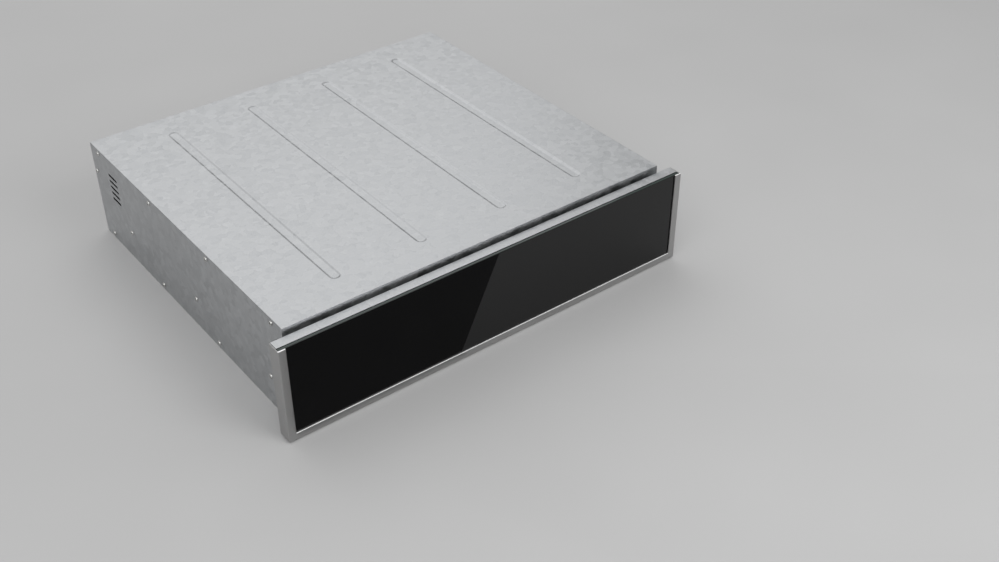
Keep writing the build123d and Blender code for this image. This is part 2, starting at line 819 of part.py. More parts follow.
# Drawer: the bulkhead with its air grille, the back panel and the cover over the fan
box_screw_across = drawer_half - drawer_rim - drawer_rim - box_flange
outlet_last = outlet_inset + outlet_slot_spacing * (outlet_slot_count - 1)
with BuildPart() as drawer_bulkhead:
    plate_x = (-drawer_fit_half, drawer_fit_half)
    block(plate_x, (bulkhead_y, bulkhead_y + drawer_sheet), (drawer_floor_z, rim_under_z))
    for low in (drawer_floor_z, rim_under_z - drawer_sheet):
        block(plate_x, (bulkhead_y, bulkhead_y + box_flange), (low, low + drawer_sheet))
    with BuildSketch(front_plane(bulkhead_y + box_flange / 2)):
        with Locations((0, fan_z)):
            with PolarLocations((intake_radius + intake_hub) / 2, intake_slot_count):
                SlotOverall(intake_radius - intake_hub, intake_slot_width)
        for side in (-1, 1):
            for x in spread(outlet_inset, outlet_last, outlet_slot_count):
                with Locations((side * x, fan_z)):
                    SlotOverall(outlet_slot_height, outlet_slot_width, rotation=90)
    extrude(amount=box_flange, mode=Mode.SUBTRACT)
    for x in (-box_screw_across, box_screw_across):
        hole((x, bulkhead_y + box_flange / 2, rim_under_z), UP, m3_hole, drawer_sheet + overrun)
write(drawer_bulkhead, "drawer_bulkhead")

with BuildPart() as drawer_back:
    block(plate_x, (drawer_rear_y - drawer_sheet, drawer_rear_y), (drawer_floor_z, rim_under_z))
    for low in (drawer_floor_z, rim_under_z - drawer_sheet):
        block(plate_x, (drawer_rear_y - box_flange, drawer_rear_y), (low, low + drawer_sheet))
    anchor_hole_y = drawer_rear_y - anchor_length / 2
    hole((lead_drawer_across, anchor_hole_y, drawer_floor_z), UP, duct_hole / 2, drawer_sheet + overrun)
    for x in (-box_screw_across, box_screw_across):
        hole((x, drawer_rear_y - box_flange / 2, rim_under_z), UP, m3_hole, drawer_sheet + overrun)
write(drawer_back, "drawer_back")

cover_half = drawer_half - drawer_rim - sheet_fit
box_screw_places = [
    (x, y)
    for x in (-box_screw_across, box_screw_across)
    for y in (bulkhead_y + box_flange / 2, drawer_rear_y - box_flange / 2)
]
with BuildPart() as fan_box_cover:
    block((-cover_half, cover_half), (bulkhead_y, drawer_rear_y), (rim_under_z, drawer_top_z))
    for x, y in box_screw_places:
        hole((x, y, drawer_top_z), UP, m3_hole, drawer_sheet + overrun)
write(fan_box_cover, "fan_box_cover")

# Small screws that hold the control strip and the cover over the fan
cover_screw_length = 2 * drawer_sheet + screw_grip
panel_screw_length = panel_sheet + drawer_sheet + screw_grip
small_seats = [((x, y, drawer_top_z), UP, cover_screw_length) for x, y in box_screw_places]
small_seats += [((x, y, control_top_z), UP, panel_screw_length) for x, y in panel_screw_places]
write(screws(m3_screw, small_seats), "drawer_cover_screws")

# Drawer: the ribbed rubber mat on the floor
mat_half = drawer_inside - mat_margin
mat_front_y = control_rear_y + mat_margin
mat_rear_y = bulkhead_y - mat_margin
mat_top_z = drawer_floor_z + mat_thickness
rib_count = int((mat_rear_y - mat_front_y) / mat_rib_spacing)
with BuildPart() as anti_slip_mat:
    block((-mat_half, mat_half), (mat_front_y, mat_rear_y), (drawer_floor_z, mat_top_z))
    with BuildSketch(Plane.XY.offset(mat_top_z)):
        with Locations((0, (mat_front_y + mat_rear_y) / 2)):
            with GridLocations(0, mat_rib_spacing, 1, rib_count):
                Rectangle(2 * (mat_half - mat_margin), mat_rib_width)
    extrude(amount=mat_rib_height)
write(anti_slip_mat, "anti_slip_mat")

# Fan: the plate that carries the motor, between the warm air and the windings
heater_half_gap = radians((360 - heater_arc) / 2)
heater_leg_across = heater_radius * sin(heater_half_gap)
heater_leg_z = fan_z - heater_radius * cos(heater_half_gap)
post_heights = (fan_z - bridge_post_spacing / 2, fan_z + bridge_post_spacing / 2)
with BuildPart() as fan_plate:
    plate_half = fan_plate_width / 2
    block((-plate_half, plate_half), (fan_plate_y, fan_plate_rear_y), (drawer_floor_z, rim_under_z))
    for low in (drawer_floor_z, rim_under_z - drawer_sheet):
        block((-plate_half, plate_half), (fan_plate_y, fan_plate_y + box_flange), (low, low + drawer_sheet))
    hole((0, fan_plate_y, fan_z), BACK, shaft_diameter, drawer_sheet + overrun)
    for x in (-heater_leg_across, heater_leg_across):
        hole((x, fan_plate_y, heater_leg_z), BACK, heater_tube / 2 + heater_hole_play, drawer_sheet + overrun)
write(fan_plate, "fan_plate")

# Motor: laminated stator with one wound limb, and a bridge at each end that holds a bearing bush
bore_radius = rotor_diameter / 2 + rotor_gap
window_near = stator_far_side - stator_limb - stator_window

with BuildPart() as motor_stator:
    with BuildSketch(front_plane(stator_rear_y)):
        with Locations(((stator_far_side - stator_near_side) / 2, fan_z)):
            Rectangle(stator_near_side + stator_far_side, stator_height)
        with Locations((0, fan_z)):
            Circle(bore_radius, mode=Mode.SUBTRACT)
        with Locations((window_near + stator_window / 2, fan_z)):
            Rectangle(stator_window, stator_window_height, mode=Mode.SUBTRACT)
    extrude(amount=stator_length)
write(motor_stator, "motor_stator")

with BuildPart() as motor_coil:
    coil_half = stator_window_height / 2 - coil_play
    block(
        (window_near + coil_play, stator_far_side + coil_wall),
        (stator_front_y - bridge_post_length + coil_play, stator_rear_y + bridge_post_length - coil_play),
        (fan_z - coil_half, fan_z + coil_half),
    )
    fillet(motor_coil.edges().filter_by(Axis.Z), coil_round)
    limb_x = (stator_far_side - stator_limb - coil_play, stator_far_side + coil_play)
    limb_y = (stator_front_y - coil_play, stator_rear_y + coil_play)
    block(limb_x, limb_y, (fan_z - stator_height, fan_z + stator_height), mode=Mode.SUBTRACT)
write(motor_coil, "motor_coil")

with BuildPart() as motor_bridges:
    bridge_x = (-bridge_width / 2, bridge_width / 2)
    bridge_z = (fan_z - bridge_height / 2, fan_z + bridge_height / 2)
    for plate_y, post_y, bush_y in (
        (front_bridge_y, front_bridge_y + bridge_thickness, front_bridge_y + bridge_thickness),
        (rear_bridge_y, stator_rear_y, rear_bridge_y + bridge_thickness),
    ):
        block(bridge_x, (plate_y, plate_y + bridge_thickness), bridge_z)
        for z in post_heights:
            rod((0, post_y, z), BACK, bridge_post_diameter / 2, bridge_post_length)
        rod((0, bush_y, fan_z), BACK, bush_diameter / 2, bush_length)
    hole((0, fan_plate_y, fan_z), BACK, shaft_diameter / 2 + running_play, shaft_rear_y - fan_plate_y)
write(motor_bridges, "motor_bridges")

# Fan: rotor, shaft and impeller, which turn together
with BuildPart() as fan_shaft:
    rod((0, shaft_front_y, fan_z), BACK, shaft_diameter / 2, shaft_rear_y - shaft_front_y)
write(fan_shaft, "fan_shaft")

with BuildPart() as motor_rotor:
    rod((0, stator_front_y, fan_z), BACK, rotor_diameter / 2, stator_length)
    hole((0, stator_front_y, fan_z), BACK, shaft_diameter / 2 + press_play, stator_length + overrun)
write(motor_rotor, "motor_rotor")

blade_radius = impeller_radius - impeller_blade_depth / 2
with BuildPart() as fan_impeller:
    rod((0, impeller_rear_y - impeller_back, fan_z), BACK, impeller_radius, impeller_back)
    rod((0, impeller_front_y, fan_z), BACK, impeller_hub / 2, impeller_length)
    with BuildSketch(front_plane(impeller_rear_y - impeller_back)):
        with Locations((0, fan_z)):
            with PolarLocations(blade_radius, impeller_blade_count):
                Rectangle(impeller_blade_depth, impeller_blade, rotation=impeller_blade_angle)
    extrude(amount=impeller_length - impeller_back)
    hole((0, impeller_front_y, fan_z), BACK, shaft_diameter / 2 + press_play, impeller_length + overrun)
write(fan_impeller, "fan_impeller")

# Heater: a tube bent into an open ring round the impeller, with two legs through the plate
heater_y = (impeller_front_y + impeller_rear_y) / 2
fan_axis = Axis((0, 0, fan_z), BACK)
with BuildPart() as heater_element:
    ring_start = Plane(
        origin=(heater_leg_across, heater_y, heater_leg_z),
        z_dir=(cos(heater_half_gap), 0, sin(heater_half_gap)),
    )
    with BuildSketch(ring_start):
        Circle(heater_tube / 2)
    revolve(axis=fan_axis, revolution_arc=-heater_arc)
    leg_length = fan_plate_rear_y - heater_y + heater_leg
    for x in (-heater_leg_across, heater_leg_across):
        with Locations((x, heater_y, heater_leg_z)):
            Sphere(heater_tube / 2)
        rod((x, heater_y, heater_leg_z), BACK, heater_tube / 2, leg_length)
        rod((x, heater_y + leg_length, heater_leg_z), BACK, heater_pin_diameter / 2, heater_pin_length)
write(heater_element, "heater_element")

# Heater: the thermal cut-out on the fan plate
with BuildPart() as thermal_cutout:
    centre_z = rim_under_z - drawer_sheet - cutout_clearance - cutout_diameter / 2
    flange_x = (-cutout_across - cutout_flange_width / 2, cutout_flange_width / 2 - cutout_across)
    flange_z = (centre_z - cutout_flange_height / 2, centre_z + cutout_flange_height / 2)
    block(flange_x, (fan_plate_rear_y, fan_plate_rear_y + cutout_flange_sheet), flange_z)
    rod((-cutout_across, fan_plate_rear_y, centre_z), BACK, cutout_diameter / 2, cutout_height)
    tab_y = (fan_plate_rear_y, fan_plate_rear_y + cutout_height + cutout_tab_length)
    for shift in (-cutout_tab_spacing / 2, cutout_tab_spacing / 2):
        tab_x = (shift - cutout_across - cutout_tab_sheet / 2, shift - cutout_across + cutout_tab_sheet / 2)
        block(tab_x, tab_y, (centre_z - cutout_tab_width / 2, centre_z + cutout_tab_width / 2))
write(thermal_cutout, "thermal_cutout")

# Controls: the circuit board under the strip, on posts that hang from it
board_x = (switch_across - switch_cut_length / 2 - board_end, knob_across + selector_width / 2 + board_end)
board_y = (
    drawer_front_y + drawer_sheet + m4_screw.head_height + board_margin,
    control_rear_y - drawer_sheet - board_margin,
)
with BuildPart() as control_board:
    block(board_x, board_y, (board_top_z - board_thickness, board_top_z))
    for x in (board_x[0] + board_post_inset, board_x[1] - board_post_inset):
        rod((x, control_y, board_top_z), UP, board_post_diameter / 2, board_drop)
write(control_board, "control_board")

# Controls: the temperature selector, its spindle and knob
selector_top_z = control_under_z - selector_neck
with BuildPart() as temperature_selector:
    with Locations((knob_across, control_y, board_top_z)):
        Box(
            selector_width,
            selector_width,
            selector_top_z - board_top_z,
            align=(Align.CENTER, Align.CENTER, Align.MIN),
        )
    fillet(temperature_selector.edges().filter_by(Axis.Z), selector_edge)
    rod((knob_across, control_y, selector_top_z), UP, selector_neck_diameter / 2, selector_neck)
    spindle_hole = spindle_diameter / 2 + running_play
    hole((knob_across, control_y, control_under_z), UP, spindle_hole, board_drop - selector_floor)
write(temperature_selector, "temperature_selector")

spindle_foot_z = board_top_z + selector_floor + running_play
spindle_top_z = knob_top_z - knob_wall
with BuildPart() as selector_spindle:
    rod((knob_across, control_y, spindle_foot_z), UP, spindle_diameter / 2, spindle_top_z - spindle_foot_z)
write(selector_spindle, "selector_spindle")

with BuildPart() as selector_knob:
    with BuildSketch(Plane.XY.offset(knob_foot_z)):
        with Locations((knob_across, control_y)):
            Circle(knob_diameter / 2)
            with PolarLocations(knob_diameter / 2, knob_flute_count):
                Circle(knob_flute / 2, mode=Mode.SUBTRACT)
    extrude(amount=knob_height)
    chamfer(selector_knob.faces().sort_by(Axis.Z)[-1].edges(), knob_edge)
    with Locations((knob_across, control_y + knob_diameter / 2 - knob_pointer_inset, knob_top_z)):
        Box(
            knob_pointer_width,
            knob_pointer_length,
            2 * knob_pointer_depth,
            align=(Align.CENTER, Align.MAX, Align.CENTER),
            mode=Mode.SUBTRACT,
        )
    spindle_fit = spindle_diameter / 2 + press_play
    hole((knob_across, control_y, knob_foot_z), UP, spindle_fit, knob_height - knob_wall + press_play)
write(selector_knob, "selector_knob")

# Controls: the rocker switch, drawn at off, and the pilot lamp beside it
pivot_z = control_top_z
pin_reach = pocket_half_width + rocker_pin_depth
pocket_depth = rocker_keel * cos(tilt) + rocker_keel_length / 2 * sin(tilt) + 2 * rocker_play

with BuildPart() as switch_body:
    with Locations((switch_across, control_y, control_top_z)):
        Box(
            switch_cut_length + 2 * switch_ledge,
            switch_cut_width + 2 * switch_ledge,
            switch_bezel,
            align=(Align.CENTER, Align.CENTER, Align.MIN),
        )
        Box(
            switch_cut_length,
            switch_cut_width,
            control_top_z - board_top_z,
            align=(Align.CENTER, Align.CENTER, Align.MAX),
        )
    top_rim = switch_body.faces().sort_by(Axis.Z)[-1].edges()
    chamfer(top_rim, switch_edge)
    pocket_z = (pivot_z - pocket_depth, control_top_z + switch_bezel + overrun)
    pocket_x = (switch_across - pocket_half, switch_across + pocket_half)
    pocket_y = (control_y - pocket_half_width, control_y + pocket_half_width)
    block(pocket_x, pocket_y, pocket_z, mode=Mode.SUBTRACT)
    pin_hole = rocker_pin_diameter / 2 + running_play
    hole((switch_across, control_y, pivot_z), BACK, pin_hole, pin_reach + running_play)
write(switch_body, "switch_body")

with BuildPart() as switch_rocker:
    rocker_plane = Plane(
        origin=(switch_across, control_y + rocker_half_width, pivot_z),
        x_dir=(cos(tilt), 0, sin(tilt)),
        z_dir=FORWARD,
    )
    with BuildSketch(rocker_plane):
        with BuildLine():
            Polyline(
                (-rocker_half, rocker_rise),
                (-rocker_half, -rocker_skirt),
                (-rocker_keel_length / 2, -rocker_keel),
                (rocker_keel_length / 2, -rocker_keel),
                (rocker_half, -rocker_skirt),
                (rocker_half, rocker_rise),
            )
            dish_bottom = (0, rocker_rise - rocker_dish)
            ThreePointArc((rocker_half, rocker_rise), dish_bottom, (-rocker_half, rocker_rise))
        make_face()
    extrude(amount=rocker_width)
    rod((switch_across, control_y - pin_reach, pivot_z), BACK, rocker_pin_diameter / 2, 2 * pin_reach)
write(switch_rocker, "switch_rocker")

with BuildPart() as pilot_lamp:
    rod((lamp_across, control_y, board_top_z), UP, lamp_diameter / 2, control_top_z - board_top_z)
    rod((lamp_across, control_y, control_top_z), UP, lamp_rim_diameter / 2, lamp_rim)
    rod((lamp_across, control_y, control_top_z + lamp_rim), UP, lamp_diameter / 2, lamp_dome)
    fillet(pilot_lamp.edges().group_by(Axis.Z)[-1], lamp_round)
write(pilot_lamp, "pilot_lamp")

# Push latch: housing on the casing's floor, plunger, and the striker under the drawer
latch_top_z = drawer_lift - latch_head_room
latch_axis_z = (casing_sheet + latch_top_z) / 2
latch_half = latch_width / 2
tip_front_y = latch_y - plunger_reach
plunger_bore = plunger_diameter / 2 + plunger_play
with BuildPart() as latch_housing:
    latch_x = (latch_across - latch_half, latch_across + latch_half)
    block(latch_x, (latch_y, latch_y + latch_length), (casing_sheet, latch_top_z))
    lug_x = (latch_x[0] - latch_lug, latch_x[1] + latch_lug)
    lug_y = (latch_screw_y - latch_lug, latch_screw_y + latch_lug)
    block(lug_x, lug_y, (casing_sheet, latch_seat_z))
    for x, y in latch_screw_places:
        hole((x, y, casing_sheet), UP, m4_hole, latch_lug_height + overrun)
    bore_length = plunger_length - plunger_reach + plunger_play
    hole((latch_across, latch_y, latch_axis_z), BACK, plunger_bore, bore_length)
write(latch_housing, "latch_housing")

with BuildPart() as latch_plunger:
    rod((latch_across, tip_front_y, latch_axis_z), BACK, plunger_diameter / 2, plunger_length)
    rod((latch_across, tip_front_y, latch_axis_z), BACK, plunger_tip_diameter / 2, plunger_tip_length)
write(latch_plunger, "latch_plunger")

striker_rear_y = tip_front_y - press_travel - striker_gap
with BuildPart() as latch_striker:
    striker_x = (latch_across - striker_width / 2, latch_across + striker_width / 2)
    striker_y = (striker_rear_y - striker_sheet, striker_rear_y)
    block(striker_x, striker_y, (casing_sheet + floor_gap, drawer_lift))
    foot_y = (striker_rear_y - striker_sheet - striker_foot, striker_rear_y)
    block(striker_x, foot_y, (drawer_lift - striker_foot_sheet, drawer_lift))
write(latch_striker, "latch_striker")

# Mains entry: terminal block, its cover, and the gland in the rear panel
cover_x = (lead_fixed_across - terminal_width / 2, lead_fixed_across + terminal_width / 2)
cover_z = (casing_sheet, casing_sheet + terminal_height)
with BuildPart() as terminal_cover:
    block(cover_x, (terminal_y, rear_inside_y), cover_z)
    block(
        (cover_x[0] + terminal_wall, cover_x[1] - terminal_wall),
        (terminal_y + terminal_wall, rear_inside_y + overrun),
        (cover_z[0] + terminal_wall, cover_z[1] - terminal_wall),
        mode=Mode.SUBTRACT,
    )
write(terminal_cover, "terminal_cover")

block_low_z = casing_sheet + terminal_block_lift
block_top_z = gland_height - gland_hex / 2 - terminal_block_gap
block_y = (rear_inside_y - terminal_block_depth, rear_inside_y)
with BuildPart() as terminal_block:
    block_half = terminal_block_width / 2
    block_x = (lead_fixed_across - block_half, lead_fixed_across + block_half)
    block(block_x, block_y, (block_low_z, block_top_z))
    for x in centred(terminal_hole_spacing, terminal_hole_count):
        middle = (lead_fixed_across + x, (block_y[0] + block_y[1]) / 2, block_low_z)
        hole(middle, UP, terminal_hole / 2, block_top_z - block_low_z + overrun)
        screw_middle = (lead_fixed_across + x, block_y[0], (block_low_z + block_top_z) / 2)
        hole(screw_middle, BACK, terminal_hole / 2, terminal_block_depth / 2)
write(terminal_block, "terminal_block")

gland_end_y = casing_rear_y + gland_projection
with BuildPart() as cable_gland:
    gland_foot = (lead_fixed_across, rear_inside_y - gland_inside, gland_height)
    rod(gland_foot, BACK, gland_thread / 2, gland_inside + casing_sheet + gland_hex_length)
    with BuildSketch(front_plane(casing_rear_y + gland_hex_length)):
        with Locations((lead_fixed_across, gland_height)):
            RegularPolygon(gland_hex / 2, 6, major_radius=False)
    extrude(amount=gland_hex_length)
    dome_foot = (lead_fixed_across, casing_rear_y + gland_hex_length, gland_height)
    rod(dome_foot, BACK, gland_dome_diameter / 2, gland_projection - gland_hex_length)
    fillet(cable_gland.edges().group_by(Axis.Y)[-1], gland_dome_round)
    hole(gland_foot, BACK, gland_bore / 2, gland_inside + casing_sheet + gland_projection + overrun)
write(cable_gland, "cable_gland")

with BuildPart() as gland_locknut:
    with BuildSketch(front_plane(rear_inside_y)):
        with Locations((lead_fixed_across, gland_height)):
            RegularPolygon(gland_hex / 2, 6, major_radius=False)
            Circle(gland_thread / 2 + running_play, mode=Mode.SUBTRACT)
    extrude(amount=locknut_length)
write(gland_locknut, "gland_locknut")

# Lead from the mains entry to the drawer: it lies in a loop under the drawer and pays out as that opens
anchor_front_y = drawer_rear_y - anchor_length
lead_z = casing_sheet + lead_rise + lead_diameter / 2
loop_y = anchor_front_y - lead_straight - lead_loop_depth
lead_route = [
    (lead_fixed_across, terminal_y, lead_z),
    (lead_fixed_across, terminal_y - lead_straight, lead_z),
    (lead_fixed_across - lead_fixed_lean, loop_y, lead_z),
    (lead_fixed_across - lead_fixed_lean - lead_loop_width, loop_y, lead_z),
    (lead_drawer_across, anchor_front_y - lead_straight, lead_z),
    (lead_drawer_across, anchor_front_y, lead_z),
]
with BuildPart() as drawer_lead:
    with BuildLine() as lead_path:
        FilletPolyline(*lead_route, radius=lead_bend)
    with BuildSketch(front_plane(terminal_y)):
        with Locations((lead_fixed_across, lead_z)):
            Circle(lead_diameter / 2)
    sweep(path=lead_path.wires()[0])
write(drawer_lead, "drawer_lead")
lead_length = lead_path.wires()[0].length
print("lead length", lead_length, "bend radius", lead_bend)
print("lead volume", drawer_lead.part.volume, "section times length", pi * lead_diameter**2 / 4 * lead_length)

with BuildPart() as lead_anchor:
    anchor_x = (lead_drawer_across - anchor_width / 2, lead_drawer_across + anchor_width / 2)
    block(anchor_x, (anchor_front_y, drawer_rear_y), (casing_sheet + floor_gap, drawer_lift))
    anchor_middle = (lead_drawer_across, anchor_front_y + anchor_length / 2, drawer_lift)
    hole(anchor_middle, UP, lead_diameter / 2, drawer_lift - casing_sheet - floor_gap - duct_wall)
write(lead_anchor, "lead_anchor")

# Wiring duct under the drawer's floor, from the fan box to the controls
with BuildPart() as wiring_duct:
    duct_x = (duct_across - duct_width / 2, duct_across + duct_width / 2)
    duct_y = (drawer_front_y + duct_front, drawer_rear_y - duct_rear)
    block(duct_x, duct_y, (drawer_lift - duct_height, drawer_lift))
    block(
        (duct_x[0] + duct_wall, duct_x[1] - duct_wall),
        (duct_y[0] + duct_wall, duct_y[1] - duct_wall),
        (drawer_lift - duct_height + duct_wall, drawer_lift + overrun),
        mode=Mode.SUBTRACT,
    )
write(wiring_duct, "wiring_duct")
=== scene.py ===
# %% [markdown]
# A built-in warming drawer, dressed for a picture. Its solids come packed in one frame, in metres, with X
# to the right, Y to the back and Z up. They could be rebuilt in Blender, but their sizes and joints are
# already right, so they stay. Blender adds the finishes, the rounded edges, the printed marks and the
# light.

# %% Load the frame
import math

import bpy
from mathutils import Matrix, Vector


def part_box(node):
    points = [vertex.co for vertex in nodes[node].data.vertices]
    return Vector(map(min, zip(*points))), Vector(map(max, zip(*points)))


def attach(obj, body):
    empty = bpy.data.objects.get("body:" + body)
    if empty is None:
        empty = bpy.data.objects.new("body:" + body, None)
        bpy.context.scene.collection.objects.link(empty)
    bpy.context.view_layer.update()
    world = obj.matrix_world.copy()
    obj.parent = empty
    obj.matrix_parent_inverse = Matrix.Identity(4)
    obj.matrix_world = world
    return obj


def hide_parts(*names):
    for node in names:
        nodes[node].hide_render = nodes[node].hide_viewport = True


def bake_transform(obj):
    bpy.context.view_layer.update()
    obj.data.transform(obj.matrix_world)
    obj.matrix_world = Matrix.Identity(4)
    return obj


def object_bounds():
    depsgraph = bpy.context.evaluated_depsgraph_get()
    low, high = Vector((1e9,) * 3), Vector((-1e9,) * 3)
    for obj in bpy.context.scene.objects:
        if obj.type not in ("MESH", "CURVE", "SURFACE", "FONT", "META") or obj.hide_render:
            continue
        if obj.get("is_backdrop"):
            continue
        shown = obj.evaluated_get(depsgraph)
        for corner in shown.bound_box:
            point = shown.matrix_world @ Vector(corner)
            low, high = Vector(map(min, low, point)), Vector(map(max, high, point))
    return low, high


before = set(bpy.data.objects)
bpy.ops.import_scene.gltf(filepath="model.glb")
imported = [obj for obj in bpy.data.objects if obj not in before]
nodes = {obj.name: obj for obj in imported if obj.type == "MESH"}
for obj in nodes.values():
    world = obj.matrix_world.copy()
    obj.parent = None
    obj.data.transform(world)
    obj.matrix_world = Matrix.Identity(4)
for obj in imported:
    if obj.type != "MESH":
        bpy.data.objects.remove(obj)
cad_low, cad_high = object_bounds()
MM = 0.001
print("solids:", len(nodes), "size in mm:", [round(side / MM, 1) for side in cad_high - cad_low])

# %% [markdown]
# The camera stands where the photograph was taken: left of the drawer and above it, looking down at the
# front. It could be placed by eye, but straight edges of known length fix it better, so its place and
# lens were solved from the edges of the front. It is tilted up a little from there, so that the casing is
# in the picture too.

# %% Camera
CAMERA_PLACE = (-0.7493, -1.2388, 0.9888)
SENSOR_WIDTH = 36.0
LENS = 45.7
LOOK_DOWN = 36.2
LOOK_RIGHT = 37.8
camera_data = bpy.data.cameras.new("photo_camera")
camera_data.sensor_width = SENSOR_WIDTH
camera_data.lens = LENS
camera = bpy.data.objects.new("photo_camera", camera_data)
camera.location = CAMERA_PLACE
camera.rotation_euler = (math.radians(90 - LOOK_DOWN), 0, math.radians(-LOOK_RIGHT))
bpy.context.scene.collection.objects.link(camera)
bpy.context.scene.camera = camera
print("camera at", CAMERA_PLACE, "with lens", LENS)

# %% [markdown]
# Every finish is a small graph of shader nodes. It could be drawn in the shader editor, but short helpers
# write the same graph, and serve again for each metal, plastic and ink. A value that is the same all over
# the piece is set on the shader's own socket, and only what varies is linked to one.


# %% Helpers for shader graphs
def new_finish(name, **even):
    """A material with these even values on its shader. Underscores in the names stand for spaces."""
    material = bpy.data.materials.new(name)
    material.use_nodes = True
    shader = material.node_tree.nodes["Principled BSDF"]
    for socket, value in even.items():
        shader.inputs[socket.replace("_", " ")].default_value = value
    return material


def add_node(material, kind, inputs, **settings):
    """Adds a shader node. An input is a number, or another node's output to link."""
    node = material.node_tree.nodes.new("ShaderNode" + kind)
    for name, value in settings.items():
        setattr(node, name, value)
    for socket, value in inputs.items():
        if isinstance(value, bpy.types.NodeSocket):
            material.node_tree.links.new(value, node.inputs[socket])
        else:
            node.inputs[socket].default_value = value
    return node


def drive(material, **sockets):
    """Links these outputs to the shader's sockets."""
    shader = material.node_tree.nodes["Principled BSDF"]
    for socket, output in sockets.items():
        material.node_tree.links.new(output, shader.inputs[socket.replace("_", " ")])


print("graph helpers:", new_finish.__name__, add_node.__name__, drive.__name__)

# %% [markdown]
# What varies comes from noise on the piece's own coordinates. Painted images could do the same, but noise
# needs no file and fits any shape. The coordinates are in metres, so a grain of 1 mm has a scale of about
# 1000. A ramp turns the noise into colour, a range turns it into roughness, and a bump turns it into
# height. Most of a noise lies between 0.3 and 0.7, so those two values are where the darkest and the
# lightest tone go.

# %% Helpers for textures
NOISE_LOW = 0.3
NOISE_HIGH = 0.7
BEVEL_SAMPLES = 4


def own_place(material, scale):
    """The piece's own coordinates, scaled by one number, or by one each for X, Y and Z."""
    if isinstance(scale, float):
        scale = (scale, scale, scale)
    coordinates = add_node(material, "TexCoord", {})
    inputs = {"Vector": coordinates.outputs["Object"], "Scale": scale}
    return add_node(material, "Mapping", inputs).outputs["Vector"]


def grain(material, scale, detail=2.0):
    """Cloudy noise. A small scale along one axis draws it out into lines along that axis."""
    inputs = {"Vector": own_place(material, scale), "Scale": 1.0, "Detail": detail}
    return add_node(material, "TexNoise", inputs).outputs["Fac"]


def mixed(material, share, first, second):
    """Two textures in one, with this share of the second."""
    inputs = {"Factor": share, "A": first, "B": second}
    return add_node(material, "Mix", inputs, data_type="FLOAT").outputs[0]


def between(material, value, low, high):
    """Spreads a noise from one number to another."""
    spread = {"From Min": NOISE_LOW, "From Max": NOISE_HIGH, "To Min": low, "To Max": high}
    return add_node(material, "MapRange", {"Value": value, **spread}).outputs["Result"]


def tones(material, value, *stops):
    """A colour for each value: stops are (position, colour)."""
    ramp = add_node(material, "ValToRGB", {"Fac": value})
    points = ramp.color_ramp.elements
    while len(points) < len(stops):
        points.new(0.5)
    for point, (position, colour) in zip(points, stops):
        point.position = position
        point.color = (*colour, 1.0)
    return ramp.outputs["Color"]


def relief(material, height, depth, edge=0.0):
    """Raises the surface by a depth in metres, and rounds its edges to a radius in the shading."""
    inputs = {"Height": height, "Distance": depth, "Strength": 1.0}
    if edge:
        rounded = add_node(material, "Bevel", {"Radius": edge}, samples=BEVEL_SAMPLES)
        inputs["Normal"] = rounded.outputs["Normal"]
    drive(material, Normal=add_node(material, "Bump", inputs).outputs["Normal"])


def grey(level, warm=0.0):
    """A grey, a little warmer or cooler."""
    return (level * (1 + warm), level, level * (1 - warm))


def clouded(name, scale, dark, light, shine, detail=2.0, depth=0.0, **even):
    """A finish whose colour and roughness follow one noise, with a relief where a depth is given."""
    material = new_finish(name, **even)
    clouds = grain(material, scale, detail)
    drive(
        material,
        Base_Color=tones(material, clouds, (NOISE_LOW, dark), (NOISE_HIGH, light)),
        Roughness=between(material, clouds, *shine),
    )
    if depth:
        relief(material, clouds, depth)
    return material


print("a noise is spread from", NOISE_LOW, "to", NOISE_HIGH)

# %% [markdown]
# The trim bars are satin stainless steel. A belt has brushed them along their length, which leaves
# hairlines a tenth of a millimetre wide. They could be modelled, but are far too fine for that. Noise
# that is drawn out along the bar gives the lines: a little in colour, more in roughness, and a trace in
# height. The drawer's inside has the same finish, a shade lighter.

# %% Satin steel
ACROSS_GRAIN = 9000.0
ALONG_GRAIN = 25.0
PATCH_SCALE = 14.0
PATCH_SHARE = 0.35
HAIRLINE_DEPTH = 0.002 * MM


def brushed(name, dark, light, along, shine, edge=0.4 * MM):
    """Brushed metal with its lines along X, Y or Z and its roughness between two numbers."""
    material = new_finish(name, Metallic=1.0)
    scale = [ALONG_GRAIN if axis == along else ACROSS_GRAIN for axis in "XYZ"]
    lines = grain(material, scale, detail=3.0)
    shade = mixed(material, PATCH_SHARE, lines, grain(material, PATCH_SCALE))
    drive(
        material,
        Base_Color=tones(material, shade, (NOISE_LOW, dark), (NOISE_HIGH, light)),
        Roughness=between(material, lines, *shine),
    )
    relief(material, lines, HAIRLINE_DEPTH, edge)
    return material


TRIM_TONES = (grey(0.40, 0.005), grey(0.48, 0.005))
TRIM_SHINE = (0.30, 0.42)
INSIDE_TONES = (grey(0.46), grey(0.58))
INSIDE_SHINE = (0.24, 0.38)
trim_upright = brushed("trim_steel_upright", *TRIM_TONES, "Z", TRIM_SHINE)
trim_level = brushed("trim_steel_level", *TRIM_TONES, "X", TRIM_SHINE)
inside_steel = brushed("drawer_steel", *INSIDE_TONES, "X", INSIDE_SHINE)
inside_steel_deep = brushed("drawer_steel_lengthways", *INSIDE_TONES, "Y", INSIDE_SHINE)
print("brushed:", trim_upright.name, trim_level.name, inside_steel.name, inside_steel_deep.name)

# %% [markdown]
# The front is one pane of hardened glass with black enamel fired on its back. Clear glass over a black
# sheet would be the true build. The eye sees black all through, though, so an opaque black with a hard
# gloss gives the same picture with less work for the renderer. The enamel drifts a little, and faint wipe
# marks change the gloss.

